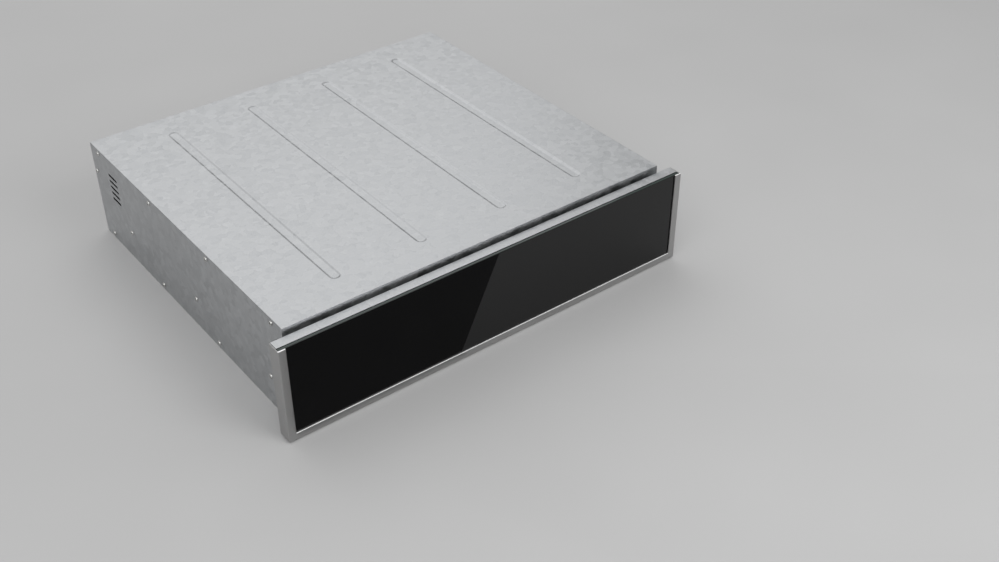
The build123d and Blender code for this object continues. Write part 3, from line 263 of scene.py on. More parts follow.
# %% Black glass
black_glass = new_finish("black_glass", IOR=1.42)
enamel = grain(black_glass, 9.0, detail=1.0)
wipes = grain(black_glass, (6.0, 40.0, 30.0), detail=4.0)
ENAMEL_DARK = (0.0022, 0.0022, 0.0024)
ENAMEL_LIGHT = (0.0034, 0.0034, 0.0036)
drive(
    black_glass,
    Base_Color=tones(black_glass, enamel, (NOISE_LOW, ENAMEL_DARK), (NOISE_HIGH, ENAMEL_LIGHT)),
    Roughness=between(black_glass, wipes, 0.012, 0.035),
)
print("glass finish:", black_glass.name)

# %% [markdown]
# The casing is galvanised sheet. Zinc freezes on the steel in flat crystals of about a centimetre, the
# spangle. Each grows in a direction of its own, with fine feathers along it, and reflects a little
# differently. Plain noise would only look dirty. Voronoi cells give the crystals, with outlines that a
# noise makes ragged, and each cell's own number turns a drawn-out noise inside it, which gives the
# feathers.

# %% Zinc finishes
RAGGED_SCALE = 1.2
RAGGED_REACH = 0.8
FEATHER_STRETCH = (6.0, 0.7, 6.0)
FEATHER_SHARE = 0.55
FEATHER_DEPTH = 0.004 * MM


def zinc_sheet(name, crystal, dark, light, shine, edge):
    """Galvanised steel with crystals of a given size and edges of a given radius, in metres."""
    material = new_finish(name, Metallic=1.0)
    place = own_place(material, 1.0)
    inputs = {"Vector": place, "Scale": RAGGED_SCALE / crystal, "Detail": 3.0}
    warp = add_node(material, "TexNoise", inputs).outputs["Color"]
    inputs = {0: warp, "Scale": RAGGED_REACH * crystal}
    push = add_node(material, "VectorMath", inputs, operation="SCALE").outputs["Vector"]
    ragged = add_node(material, "VectorMath", {0: place, 1: push}, operation="ADD").outputs["Vector"]
    cells = add_node(material, "TexVoronoi", {"Vector": ragged, "Scale": 1 / crystal}).outputs["Color"]
    facet = add_node(material, "SeparateColor", {"Color": cells}).outputs["Red"]
    angle = add_node(material, "Math", {0: facet, 1: 2 * math.pi}, operation="MULTIPLY").outputs["Value"]
    inputs = {"Vector": place, "Axis": (1, 1, 1), "Angle": angle}
    grown = add_node(material, "VectorRotate", inputs, rotation_type="AXIS_ANGLE").outputs["Vector"]
    drawn = add_node(material, "Mapping", {"Vector": grown, "Scale": FEATHER_STRETCH}).outputs["Vector"]
    inputs = {"Vector": drawn, "Scale": 1 / crystal, "Detail": 5.0}
    feathers = add_node(material, "TexNoise", inputs).outputs["Fac"]
    shade = mixed(material, FEATHER_SHARE, facet, feathers)
    drive(
        material,
        Base_Color=tones(material, shade, (0.15, dark), (0.85, light)),
        Roughness=between(material, shade, *shine),
    )
    relief(material, feathers, FEATHER_DEPTH, edge)
    return material


galvanised = zinc_sheet(
    "galvanised_steel", 8.0 * MM, (0.38, 0.39, 0.40), (0.58, 0.59, 0.60), (0.32, 0.48), 0.5 * MM
)
screw_steel = zinc_sheet(
    "screw_steel", 1.2 * MM, (0.48, 0.48, 0.47), (0.66, 0.66, 0.64), (0.22, 0.36), 0.15 * MM
)
plated = brushed("plated_steel", (0.50, 0.52, 0.55), (0.60, 0.61, 0.63), "Y", (0.22, 0.34), 0.2 * MM)
print("zinc finishes:", galvanised.name, screw_steel.name, plated.name)

# %% [markdown]
# The small metal parts inside are turned, drawn or cut. One shiny metal would do for all, but colour and
# gloss tell them apart: chrome balls, bright shafts, an aluminium fan wheel, and a heater tube that the
# heat has tinted straw and blue. A noise with much detail is enough for parts of this size.

# %% Other metals
METAL_DETAIL = 4.0
METAL_DEPTH = 0.001 * MM


def bare_metal(name, scale, dark, light, shine):
    """A bare metal with a trace of unevenness."""
    return clouded(name, scale, grey(dark), grey(light), shine, METAL_DETAIL, METAL_DEPTH, Metallic=1.0)


ball_steel = bare_metal("ball_steel", 900.0, 0.62, 0.72, (0.05, 0.10))
bright_steel = bare_metal("bright_steel", 700.0, 0.52, 0.62, (0.12, 0.22))
aluminium = bare_metal("impeller_aluminium", 260.0, 0.62, 0.74, (0.28, 0.42))
heater_steel = new_finish("heater_steel", Metallic=1.0)
tint = grain(heater_steel, 90.0, METAL_DETAIL)
BROWN = (0.16, 0.13, 0.11)
STRAW = (0.26, 0.22, 0.18)
BLUE = (0.17, 0.17, 0.21)
drive(
    heater_steel,
    Base_Color=tones(heater_steel, tint, (NOISE_LOW, BROWN), (0.5, STRAW), (NOISE_HIGH, BLUE)),
    Roughness=between(heater_steel, tint, 0.30, 0.46),
)
relief(heater_steel, tint, METAL_DEPTH)
print("metals:", ball_steel.name, bright_steel.name, aluminium.name, heater_steel.name)

# %% [markdown]
# Moulded plastic has a fine texture from its mould, and rubber is duller, with a bloom that lightens it
# in patches. The texture could be a photograph, but it is so even that noise can't be told from it. Both
# take the same graph: a fine grain for roughness and relief, and a broad one for the colour.

# %% Plastics and rubber
BLOOM_SCALE = 35.0
MOULD_EDGE = 0.3 * MM


def moulded(name, dark, light, shine, texture=2600.0, depth=0.006 * MM, **even):
    """Plastic or rubber with a fine surface texture and a slow drift of colour."""
    material = new_finish(name, **even)
    skin = grain(material, texture)
    bloom = grain(material, BLOOM_SCALE, detail=3.0)
    drive(
        material,
        Base_Color=tones(material, bloom, (NOISE_LOW, dark), (NOISE_HIGH, light)),
        Roughness=between(material, skin, *shine),
    )
    relief(material, skin, depth, MOULD_EDGE)
    return material


black_plastic = moulded("black_plastic", grey(0.011), grey(0.017), (0.34, 0.50))
grey_plastic = moulded("grey_plastic", (0.40, 0.40, 0.39), (0.48, 0.48, 0.46), (0.38, 0.52))
rubber = moulded("rubber", (0.016, 0.016, 0.017), (0.030, 0.030, 0.031), (0.62, 0.80), 1400.0, 0.012 * MM)
mat_rubber = moulded(
    "mat_rubber", (0.030, 0.031, 0.033), (0.046, 0.047, 0.050), (0.60, 0.78), 1100.0, 0.02 * MM
)
foam = moulded("foam_tape", grey(0.015), grey(0.03), (0.85, 0.95), 900.0, 0.08 * MM)
lead_sheath = moulded("lead_sheath", (0.020, 0.020, 0.022), (0.034, 0.034, 0.036), (0.42, 0.58), 1600.0)
lamp_lens = moulded(
    "lamp_lens",
    (0.60, 0.10, 0.006),
    (0.72, 0.15, 0.012),
    (0.04, 0.08),
    900.0,
    0.001 * MM,
    Transmission_Weight=0.25,
)
print("plastics:", black_plastic.name, grey_plastic.name, rubber.name, lead_sheath.name, lamp_lens.name)

# %% [markdown]
# The motor's core is a stack of half-millimetre steel sheets, and its coil is wound from enamelled copper
# wire. Both show as fine bands. Sheets and turns could be modelled one by one, which would be thousands
# of faces inside a closed box. A banded texture draws them at an exact pitch instead: along the stack for
# the sheets, and along the wound limb for the wire. Its bands repeat every 2 pi / 20 units, which gives
# the scale below.

# %% Banded finishes
STAIN_SCALE = 220.0
STAIN_SHARE = 0.4


def banded(name, along, pitch, dark, light, shine, depth):
    """Metal in fine bands that follow each other along X, Y or Z at a pitch in metres."""
    material = new_finish(name, Metallic=0.9)
    inputs = {"Vector": own_place(material, 1.0), "Scale": 2 * math.pi / (20 * pitch)}
    bands = add_node(material, "TexWave", inputs, bands_direction=along).outputs["Fac"]
    shade = mixed(material, STAIN_SHARE, bands, grain(material, STAIN_SCALE, detail=3.0))
    drive(
        material,
        Base_Color=tones(material, shade, (0.2, dark), (0.8, light)),
        Roughness=between(material, shade, *shine),
    )
    relief(material, bands, depth)
    return material


laminations = banded(
    "laminations", "Y", 0.5 * MM, (0.12, 0.12, 0.13), (0.26, 0.26, 0.27), (0.36, 0.5), 0.08 * MM
)
winding = banded(
    "copper_winding", "Z", 0.6 * MM, (0.24, 0.07, 0.025), (0.60, 0.22, 0.09), (0.22, 0.34), 0.15 * MM
)
print("banded finishes:", laminations.name, winding.name)

# %% [markdown]
# The circuit board is green lacquer over copper tracks. Real tracks would be drawn from a circuit, but
# the board lies in the dark under the strip. Tracks run square to each other, so a brick pattern with
# thin joints gives a fair picture of them.

# %% Circuit board
board = new_finish("board", IOR=1.5)
pattern = {
    "Vector": own_place(board, 1.0),
    "Color1": (0.010, 0.085, 0.030, 1.0),
    "Color2": (0.014, 0.110, 0.040, 1.0),
    "Mortar": (0.060, 0.180, 0.055, 1.0),
    "Scale": 90.0,
    "Mortar Size": 0.03,
}
tracks = add_node(board, "TexBrick", pattern)
lacquer = grain(board, 300.0)
drive(board, Base_Color=tracks.outputs["Color"], Roughness=between(board, lacquer, 0.18, 0.34))
relief(board, tracks.outputs["Fac"], 0.03 * MM)
print("board finish:", board.name)

# %% [markdown]
# Each solid now gets its finish. Copies of the solids could be dressed and the solids hidden, but their
# shapes are right as they are. A material slot changes the look alone, and leaves the mesh untouched.

# %% Dress the solids
finish_of = {
    trim_upright: "left_trim right_trim",
    trim_level: "bottom_trim",
    black_glass: "glass_front",
    foam: "glass_tape",
    galvanised: "casing_base casing_left_side casing_right_side casing_rear_panel casing_top_cover "
    "front_carrier",
    inside_steel: "front_channel control_panel drawer_bulkhead drawer_back fan_box_cover fan_plate",
    inside_steel_deep: "drawer_tray",
    plated: "runner_outer_left runner_outer_right runner_middle_left runner_middle_right "
    "runner_inner_left runner_inner_right outer_ball_cages inner_ball_cages latch_striker motor_bridges",
    ball_steel: "outer_balls inner_balls",
    screw_steel: "casing_screws runner_outer_screws runner_inner_screws front_screws drawer_cover_screws",
    rubber: "front_buffers",
    mat_rubber: "anti_slip_mat",
    black_plastic: "selector_knob switch_body switch_rocker latch_housing terminal_cover wiring_duct "
    "lead_anchor temperature_selector",
    grey_plastic: "latch_plunger cable_gland gland_locknut terminal_block thermal_cutout",
    lamp_lens: "pilot_lamp",
    board: "control_board",
    lead_sheath: "drawer_lead",
    laminations: "motor_stator motor_rotor",
    winding: "motor_coil",
    bright_steel: "fan_shaft selector_spindle",
    aluminium: "fan_impeller",
    heater_steel: "heater_element",
}
dressed = []
for material, names in finish_of.items():
    for name in names.split():
        for slot in nodes[name].material_slots:
            slot.material = material
        dressed.append(name)
print("dressed:", len(dressed), "left over:", sorted(set(nodes) - set(dressed)))

# %% [markdown]
# New pieces are modelled as by hand. Each starts from a primitive at its real size and place, and is then
# shaped in edit mode. Points and faces could be listed in code, but a reader can follow an extrusion and
# can't follow a list. An operator works on what is selected, so these helpers first clear the selection,
# and then pick faces or edges by where they lie and how they face. Points that are less than a thousandth
# of a millimetre apart count as one.

# %% Helpers for modelling
SAME_PLACE = 0.001 * MM


def deselect():
    """Clears the selection."""
    bpy.ops.object.select_all(action="DESELECT")


def settle(piece, name):
    """Names the selected piece and puts its place into its mesh."""
    piece.name = name
    piece.data.name = name
    bpy.ops.object.transform_apply(location=True, rotation=True, scale=True)
    return piece


def add_box(name, low, high):
    """A cube primitive at the size and place of a box."""
    deselect()
    bpy.ops.mesh.primitive_cube_add(size=1.0, location=(low + high) / 2, scale=high - low)
    return settle(bpy.context.object, name)


def every(part):
    """A test for picking that wants each part."""
    return True


def pick(piece, kind, wanted):
    """Goes into edit mode with those faces, edges or vertices selected that the test wants."""
    bpy.ops.object.mode_set(mode="OBJECT")
    deselect()
    piece.select_set(True)
    bpy.context.view_layer.objects.active = piece
    kinds = ("vertices", "edges", "polygons")
    bpy.context.tool_settings.mesh_select_mode = [each == kind for each in kinds]
    for each in kinds:
        for part in getattr(piece.data, each):
            part.select = each == kind and wanted(part)
    bpy.ops.object.mode_set(mode="EDIT")


def finish_with(piece, kind, **settings):
    """Adds a modifier with these settings and applies it."""
    bpy.context.view_layer.objects.active = piece
    modifier = piece.modifiers.new(kind.lower(), kind)
    for name, value in settings.items():
        setattr(modifier, name, value)
    bpy.ops.object.modifier_apply(modifier=modifier.name)


def done(piece, angle=35.0):
    """Leaves edit mode and smooths the shading of round edges. The large faces beside them stay flat."""
    bpy.ops.object.mode_set(mode="OBJECT")
    deselect()
    piece.select_set(True)
    bpy.context.view_layer.objects.active = piece
    bpy.ops.object.shade_smooth_by_angle(angle=math.radians(angle))
    finish_with(piece, "WEIGHTED_NORMAL", keep_sharp=True)
    return piece


def join(pieces, name):
    """Joins pieces into the first of them."""
    deselect()
    for piece in pieces:
        piece.select_set(True)
    bpy.context.view_layer.objects.active = pieces[0]
    bpy.ops.object.join()
    return settle(pieces[0], name)


def dress(piece, *materials):
    """Gives a new piece its finishes in place of any that it has."""
    piece.data.materials.clear()
    for material in materials:
        piece.data.materials.append(material)


print("modelling helpers ready, with", bpy.context.mode, "mode on")

# %% [markdown]
# The bars' upper faces are painted brighter than the brushed faces, a painted highlight that draws a
# light line along the foot of the pane, where light from above falls on them. A lamp aimed at the edge
# could give that line, but only from one side. A paler, less metallic finish on those faces paints it
# from everywhere.

# %% Painted highlight on the upper edges
edge_painted_highlight = clouded(
    "edge_painted_highlight",
    (1500.0, 400.0, 1500.0),
    grey(0.86),
    grey(0.95),
    (0.26, 0.38),
    detail=3.0,
    depth=HAIRLINE_DEPTH,
    Metallic=0.2,
)
print("edge finish:", edge_painted_highlight.name)

# %% [markdown]
# The front's trim is three bars of bent steel: a wall that wraps the edge of the pane, and a lip that
# stands in front of it. A profile swept along a curve would do, but a cut keeps the mitres exact. So each
# bar starts as its wall. A cut behind the lip leaves a narrow face, which is extruded over the glass. The
# edges are rounded before the mitres are cut, so that the bars meet flush at the corners.

# %% Trim bars
EDGE_ROUND = 0.65 * MM
LIP = 2.0 * MM
WALL = 1.5 * MM
PAINTED_HIGHLIGHT_FROM = 0.3


def trim_bar(node, wall_low, wall_high, reach, mitres, finish):
    """One bar: its wall between two corners, its lip extruded by the reach, and a cut for each mitre,
    which is given as a point and the direction that is cut away."""
    bar = add_box(node.replace("_trim", "_bar"), wall_low, wall_high)
    lip_back = wall_low.y + LIP
    pick(bar, "polygons", every)
    bpy.ops.mesh.bisect(plane_co=(0, lip_back, 0), plane_no=(0, 1, 0))
    way = reach.normalized()
    pick(bar, "polygons", lambda face: face.normal.dot(way) > 0.9 and face.center.y < lip_back)
    bpy.ops.mesh.extrude_region_move(TRANSFORM_OT_translate={"value": reach})
    bpy.ops.object.mode_set(mode="OBJECT")
    finish_with(bar, "BEVEL", width=EDGE_ROUND, segments=3, limit_method="ANGLE")
    for corner, away in mitres:
        pick(bar, "polygons", every)
        bpy.ops.mesh.bisect(
            plane_co=corner,
            plane_no=away.normalized(),
            use_fill=True,
            clear_outer=True,
            threshold=SAME_PLACE,
        )
    done(bar)
    # The lip's upward faces, and the rounds that lead up to them, get the paler second finish, a painted
    # highlight.
    dress(bar, finish, edge_painted_highlight)
    for face in bar.data.polygons:
        if face.normal.z > PAINTED_HIGHLIGHT_FROM and face.center.y < lip_back:
            face.material_index = 1
    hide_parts(node)
    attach(bar, "drawer")
    return bar


left_low, left_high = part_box("left_trim")
right_low, right_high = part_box("right_trim")
bottom_low, bottom_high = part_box("bottom_trim")
side_width = left_high.x - left_low.x
bottom_height = bottom_high.z - bottom_low.z
right_corner = Vector((bottom_high.x, bottom_low.y, bottom_low.z))
left_mitre = (bottom_low, Vector((bottom_height, 0, -side_width)))
right_mitre = (right_corner, Vector((-bottom_height, 0, -side_width)))
side_reach = Vector((side_width - WALL, 0, 0))
bars = [
    trim_bar(
        "left_trim",
        left_low,
        Vector((left_low.x + WALL, left_high.y, left_high.z)),
        side_reach,
        [left_mitre],
        trim_upright,
    ),
    trim_bar(
        "right_trim",
        Vector((right_high.x - WALL, right_low.y, right_low.z)),
        right_high,
        -side_reach,
        [right_mitre],
        trim_upright,
    ),
    trim_bar(
        "bottom_trim",
        bottom_low,
        Vector((bottom_high.x, bottom_high.y, bottom_low.z + WALL)),
        Vector((0, 0, bottom_height - WALL)),
        [(corner, -away) for corner, away in (left_mitre, right_mitre)],
        trim_level,
    ),
]
print("bars:", [(bar.name, len(bar.data.polygons)) for bar in bars])

# %% [markdown]
# The pane's edges are ground to a small round and polished. A modifier could round them, but bevelling
# all edges of a box at once in edit mode is just as quick and shows what happens. Seen through its edge,
# such glass is a deep green, so the narrow faces have a finish of their own.

# %% Glass pane
PANE_ROUND = 0.7 * MM
glass_edge = clouded(
    "glass_edge", 40.0, (0.006, 0.016, 0.013), (0.010, 0.026, 0.021), (0.06, 0.12), IOR=1.5
)
pane_low, pane_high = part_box("glass_front")
pane = add_box("glass_pane", pane_low, pane_high)
pick(pane, "edges", every)
bpy.ops.mesh.bevel(offset=PANE_ROUND, segments=3, affect="EDGES")
done(pane)
dress(pane, black_glass, glass_edge)
for face in pane.data.polygons:
    face.material_index = 0 if abs(face.normal.y) > 0.5 else 1
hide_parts("glass_front")
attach(pane, "drawer")
print("pane faces:", len(pane.data.polygons))

# %% [markdown]
# The top cover is stiffened by four pressed beads. Cut from the sheet with a Boolean, they would have
# hard walls, but pressing leaves soft ones. So each bead starts as a disc that is pulled apart into a
# rounded slot. Its face is then inset again and again, a little lower each time, steep in the middle and
# flat at both ends.

# %% Beads of the top cover
BEAD_WIDTH = 16.0 * MM
BEAD_MARGIN = 42.0 * MM
BEAD_SPACING = 120.0 * MM
BEAD_PLACES = (-1.5, -0.5, 0.5, 1.5)
BEAD_POINTS = 32
BEAD_STEPS_MM = [(0.5, 0.04), (0.6, 0.20), (0.8, 0.46), (0.8, 0.46), (0.8, 0.26), (0.6, 0.08)]
cover_low, cover_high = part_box("casing_top_cover")
cover_size = cover_high - cover_low
cover_middle = (cover_low.y + cover_high.y) / 2
straight = cover_size.y / 2 - BEAD_MARGIN - BEAD_WIDTH / 2
beads = []
for place in BEAD_PLACES:
    deselect()
    bpy.ops.mesh.primitive_circle_add(
        vertices=BEAD_POINTS,
        radius=BEAD_WIDTH / 2,
        fill_type="NGON",
        location=(place * BEAD_SPACING, cover_middle, cover_high.z),
        rotation=(0, 0, math.pi / BEAD_POINTS),
    )
    bead = settle(bpy.context.object, "bead")
    for side in (1, -1):
        pick(bead, "vertices", lambda point: (point.co.y - cover_middle) * side > 0)
        bpy.ops.transform.translate(value=(0, side * straight, 0))
    pick(bead, "polygons", every)
    for inward, down in BEAD_STEPS_MM:
        bpy.ops.mesh.inset(thickness=inward * MM, depth=-down * MM)
    bpy.ops.object.mode_set(mode="OBJECT")
    beads.append(bead)
lowest = min(point.co.z for point in beads[0].data.vertices)
print("beads:", len(beads), "deep in mm:", round((cover_high.z - lowest) / MM, 2))

# %% [markdown]
# The flat sheet lies between the beads and the cover's outline. It could be a grid with holes cut in it,
# but the outlines are there already. A plane without its face gives the outer one. Joined to the beads,
# all open edges are selected and filled between. Solidify gives the sheet its thickness, downwards from
# the top.

# %% Sheet of the top cover
SHEET = 1.0 * MM
SHEET_ROUND = 0.45 * MM
deselect()
bpy.ops.mesh.primitive_plane_add(size=1.0, location=(0, cover_middle, cover_high.z))
bpy.ops.transform.resize(value=(cover_size.x, cover_size.y, 1.0))
cover = settle(bpy.context.object, "top_cover")
pick(cover, "polygons", every)
bpy.ops.mesh.delete(type="ONLY_FACE")
bpy.ops.object.mode_set(mode="OBJECT")
join([cover, *beads], "top_cover")
pick(cover, "edges", lambda edge: False)
bpy.ops.mesh.select_non_manifold(use_multi_face=False, use_non_contiguous=False, use_verts=False)
bpy.ops.mesh.fill(use_beauty=True)
bpy.ops.mesh.select_all(action="SELECT")
bpy.ops.mesh.normals_make_consistent(inside=False)
bpy.ops.object.mode_set(mode="OBJECT")
if sum(face.normal.z * face.area for face in cover.data.polygons) < 0:
    bpy.ops.object.mode_set(mode="EDIT")
    bpy.ops.mesh.flip_normals()
    bpy.ops.object.mode_set(mode="OBJECT")
finish_with(cover, "SOLIDIFY", thickness=SHEET, offset=-1.0)
finish_with(
    cover, "BEVEL", width=SHEET_ROUND, segments=3, limit_method="ANGLE", angle_limit=math.radians(60)
)
sheet_size = [round(side / MM, 1) for side in cover.dimensions]
print("sheet faces:", len(cover.data.polygons), "size in mm:", sheet_size)

# %% [markdown]
# Three flanges are folded down from the sheet: two go inside the casing's walls, and one closes the
# front. They could be extruded from the sheet, but its rounded rim has no single face to start from. So
# each is a box that reaches a little into the sheet, and a Boolean modifier makes one skin of both.

# %% Flanges of the top cover
FLANGE = 13.0 * MM
OVERLAP = 0.3 * MM
side_out = cover_high.x - SHEET
side_in = side_out - SHEET
side_front = cover_low.y + 2 * SHEET
side_back = cover_high.y - SHEET
side_foot = cover_high.z - FLANGE
flange_top = cover_high.z - SHEET + OVERLAP
front_back = cover_low.y + SHEET
flange_boxes = [
    ((-side_out, side_front, side_foot), (-side_in, side_back, flange_top)),
    ((side_in, side_front, side_foot), (side_out, side_back, flange_top)),
    ((-side_out, cover_low.y, cover_low.z), (side_out, front_back, flange_top)),
]
for low, high in flange_boxes:
    flange = add_box("flange", Vector(low), Vector(high))
    deselect()
    cover.select_set(True)
    finish_with(cover, "BOOLEAN", operation="UNION", solver="EXACT", object=flange)
    bpy.data.objects.remove(flange)
done(cover, 40.0)
dress(cover, galvanised)
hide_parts("casing_top_cover")
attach(cover, "casing")
print("cover faces:", len(cover.data.polygons))

# %% [markdown]
# A lead feeds the drawer. It lies in a loop on the casing's floor and pays out as the drawer opens.
# Straight tubes with elbows would look like bent wire. A NURBS line that is pulled by a few points bends
# as a real lead does, and a round bevel makes it a tube. It is made a mesh in its place, and isn't
# attached to the casing or the drawer.

# %% Lead under the drawer
LEAD_RADIUS = 3.5 * MM
LEAD_HEIGHT = 4.8 * MM
LEAD_ROUTE_MM = [(200, 240.5), (200, 210.5), (150, -2), (50, -2), (0, 188), (0, 218)]
lead_curve = bpy.data.curves.new("drawer_lead_line", "CURVE")
lead_curve.dimensions = "3D"
line = lead_curve.splines.new("NURBS")
line.points.add(len(LEAD_ROUTE_MM) - 1)
for point, (x, y) in zip(line.points, LEAD_ROUTE_MM):
    point.co = (x * MM, y * MM, LEAD_HEIGHT, 1.0)
line.order_u = 3
line.use_endpoint_u = True
line.resolution_u = 24
lead_curve.bevel_depth = LEAD_RADIUS
lead_curve.bevel_resolution = 5
lead_curve.use_fill_caps = True
lead = bpy.data.objects.new("lead_tube", lead_curve)
bpy.context.scene.collection.objects.link(lead)
deselect()
lead.select_set(True)
bpy.context.view_layer.objects.active = lead
bpy.ops.object.convert(target="MESH")
lead = bpy.context.object
pick(lead, "vertices", every)
bpy.ops.mesh.remove_doubles(threshold=SAME_PLACE)
bpy.ops.mesh.normals_make_consistent(inside=False)
done(lead, 50.0)
dress(lead, lead_sheath)
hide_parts("drawer_lead")
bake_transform(lead)
print("lead points:", len(lead.data.vertices))

# %% [markdown]
# The control strip is printed round the knob with a fine arc and a tick for each step. A texture could
# draw them, but a mesh stays crisp at any distance. A ring of short edges is opened where the knob
# doesn't reach. It is extruded into the arc, and the edges at the steps are extruded further into ticks.
# Ink is a hair thick, so the marks are too.

# %% Marks round the knob
INK = 0.04 * MM
STEP = 1.5
KNOB_SWEEP = 270
ARC_RADIUS = 15.9 * MM
NUMBER_EVERY = 45
GROWTH_AT_STEPS = [(1.014, STEP), (1.022, 15), (1.030, NUMBER_EVERY)]
SAME_ANGLE = 0.4
SAME_RADIUS = 0.01 * MM
ink = clouded("printed_ink", 900.0, grey(0.020), grey(0.030), (0.45, 0.6), IOR=1.45)
knob_low, knob_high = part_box("selector_knob")
knob_middle = (knob_low + knob_high) / 2
strip_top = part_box("control_panel")[1].z
print_middle = Vector((knob_middle.x, knob_middle.y, strip_top + INK / 2))
deselect()
bpy.ops.mesh.primitive_circle_add(
    vertices=int(360 / STEP),
    radius=ARC_RADIUS,
    location=print_middle,
    rotation=(0, 0, math.radians(STEP / 2)),
)
dial = settle(bpy.context.object, "dial_scale")


def turned(edge):
    """How far an edge lies clockwise from the knob's zero, in degrees."""
    a, b = (dial.data.vertices[number].co for number in edge.vertices)
    middle = (a + b) / 2 - knob_middle
    return math.degrees(math.atan2(middle.x, middle.y)) % 360


def radii(edge):
    """How far an edge's two ends lie from the knob's middle, the nearer one first."""
    return sorted((dial.data.vertices[number].co - knob_middle).xy.length for number in edge.vertices)


def draw_out(growth, degrees):
    """Extrudes those edges of the outer rim outwards that lie at steps of so many degrees."""
    rim = max(radii(edge)[1] for edge in dial.data.edges)

    def wanted(edge):
        from_step = turned(edge) % degrees
        at_step = min(from_step, degrees - from_step) < SAME_ANGLE
        return at_step and radii(edge)[0] > rim - SAME_RADIUS

    pick(dial, "edges", wanted)
    bpy.ops.mesh.extrude_edges_move()
    bpy.ops.transform.resize(value=(growth, growth, 1), center_override=knob_middle)
    bpy.ops.object.mode_set(mode="OBJECT")


pick(dial, "edges", lambda edge: KNOB_SWEEP + STEP / 2 < turned(edge) < 360 - STEP / 2)
bpy.ops.mesh.delete(type="EDGE")
bpy.ops.object.mode_set(mode="OBJECT")
for growth, degrees in GROWTH_AT_STEPS:
    draw_out(growth, degrees)
pick(dial, "vertices", every)
bpy.ops.mesh.normals_make_consistent(inside=False)
bpy.ops.object.mode_set(mode="OBJECT")
finish_with(dial, "SOLIDIFY", thickness=INK, offset=0.0)
dress(done(dial), ink)
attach(dial, "drawer")
print("dial faces:", len(dial.data.polygons), "across in mm:", round(dial.dimensions.x / MM, 1))

# %% [markdown]
# The temperatures stand outside the ticks. Numbers drawn point by point would take long, and Blender has
# a text object for them. It is given the ink's thickness, made a mesh, and set on the strip. The numbers
# are joined, because one print run puts them all on at once.


# %% Numbers round the knob
def printed(text, name, place, height, thick=INK):
    """A number or sign as a mesh that lies flat and faces up."""
    deselect()
    bpy.ops.object.text_add(location=place)
    words = bpy.context.object
    words.data.body = text
    words.data.size = height
    words.data.extrude = thick / 2
    words.data.align_x = "CENTER"
    words.data.align_y = "CENTER"
    bpy.ops.object.convert(target="MESH")
    words = settle(bpy.context.object, name)
    pick(words, "vertices", every)
    bpy.ops.mesh.remove_doubles(threshold=SAME_PLACE)
    bpy.ops.mesh.dissolve_degenerate(threshold=SAME_PLACE)
    bpy.ops.object.mode_set(mode="OBJECT")
    return words


NUMBER_RADIUS = 18.25 * MM
NUMBER_HEIGHT = 2.3 * MM
numbers = []
for step, text in enumerate(["0", "30", "40", "50", "60", "70", "80"]):
    angle = math.radians(NUMBER_EVERY * step)
    away = Vector((math.sin(angle), math.cos(angle), 0)) * NUMBER_RADIUS
    numbers.append(printed(text, "dial_number", print_middle + away, NUMBER_HEIGHT))
dial_numbers = join(numbers, "dial_numbers")
dress(dial_numbers, ink)
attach(dial_numbers, "drawer")
print("numbers:", len(numbers), "faces:", len(dial_numbers.data.polygons))

# %% [markdown]
# The knob's pointer is a groove that is filled in white. A white face in the groove would do from afar,
# but paint shrinks as it dries and rounds off at its rim. So the filling is a bar a little smaller than
# the groove, with its upper edges bevelled, and it turns with the knob.

# %% Pointer of the knob
GROOVE_WIDTH = 1.2 * MM
GROOVE_LENGTH = 9.0 * MM
GROOVE_DEPTH = 0.6 * MM
GROOVE_INSET = 1.5 * MM
FILL_PLAY = 0.06 * MM
FILL_ROUND = 0.15 * MM
white_ink = clouded("white_ink", 700.0, grey(0.74), grey(0.82), (0.4, 0.55), IOR=1.45)
half_fill = GROOVE_WIDTH / 2 - FILL_PLAY
groove_end = knob_high.y - GROOVE_INSET
groove_floor = knob_high.z - GROOVE_DEPTH
fill_low = Vector((knob_middle.x - half_fill, groove_end - GROOVE_LENGTH + FILL_PLAY, groove_floor))
fill_high = Vector((knob_middle.x + half_fill, groove_end - FILL_PLAY, knob_high.z - FILL_PLAY))
pointer = add_box("knob_pointer", fill_low, fill_high)


def upper(edge):
    """Whether an edge lies in the filling's top."""
    heights = [pointer.data.vertices[number].co.z for number in edge.vertices]
    return min(heights) > groove_floor + GROOVE_DEPTH / 2


pick(pointer, "edges", upper)
bpy.ops.mesh.bevel(offset=FILL_ROUND, segments=3, affect="EDGES")
dress(done(pointer), white_ink)
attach(pointer, "knob")
print("pointer faces:", len(pointer.data.polygons))

# %% [markdown]
# The rocker has the two usual signs, a bar for on and a ring for off. Its face is dished, so flat signs
# would float over it or sink into it. They start as flat text above the rocker. Subdividing lets them
# bend, a Shrinkwrap modifier lays them on the face, and Solidify makes them as thick as ink. The raised
# end is the one to press for on.

# %% Signs on the rocker
SIGN_PLACE = 0.31
SIGN_HEIGHT = 4.2 * MM
SIGN_START = 2.0 * MM
rocker = nodes["switch_rocker"]
rocker_low, rocker_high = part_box("switch_rocker")
rocker_middle = (rocker_low + rocker_high) / 2
raised = max(rocker.data.vertices, key=lambda point: point.co.z).co.x
towards_on = 1 if raised > rocker_middle.x else -1
signs = []
for text, side in (("I", towards_on), ("O", -towards_on)):
    across = rocker_middle.x + side * SIGN_PLACE * (rocker_high.x - rocker_low.x)
    above = (across, rocker_middle.y, rocker_high.z + SIGN_START)
    sign = printed(text, "rocker_sign", above, SIGN_HEIGHT, thick=0.0)
    pick(sign, "polygons", every)
    bpy.ops.mesh.subdivide(number_cuts=2)
    bpy.ops.object.mode_set(mode="OBJECT")
    finish_with(
        sign,
        "SHRINKWRAP",
        target=rocker,
        wrap_method="PROJECT",
        use_project_z=True,
        use_negative_direction=True,
        use_positive_direction=False,
        offset=INK / 4,
    )
    finish_with(sign, "SOLIDIFY", thickness=INK, offset=1.0)
    signs.append(sign)
rocker_signs = join(signs, "rocker_signs")
dress(done(rocker_signs), white_ink)
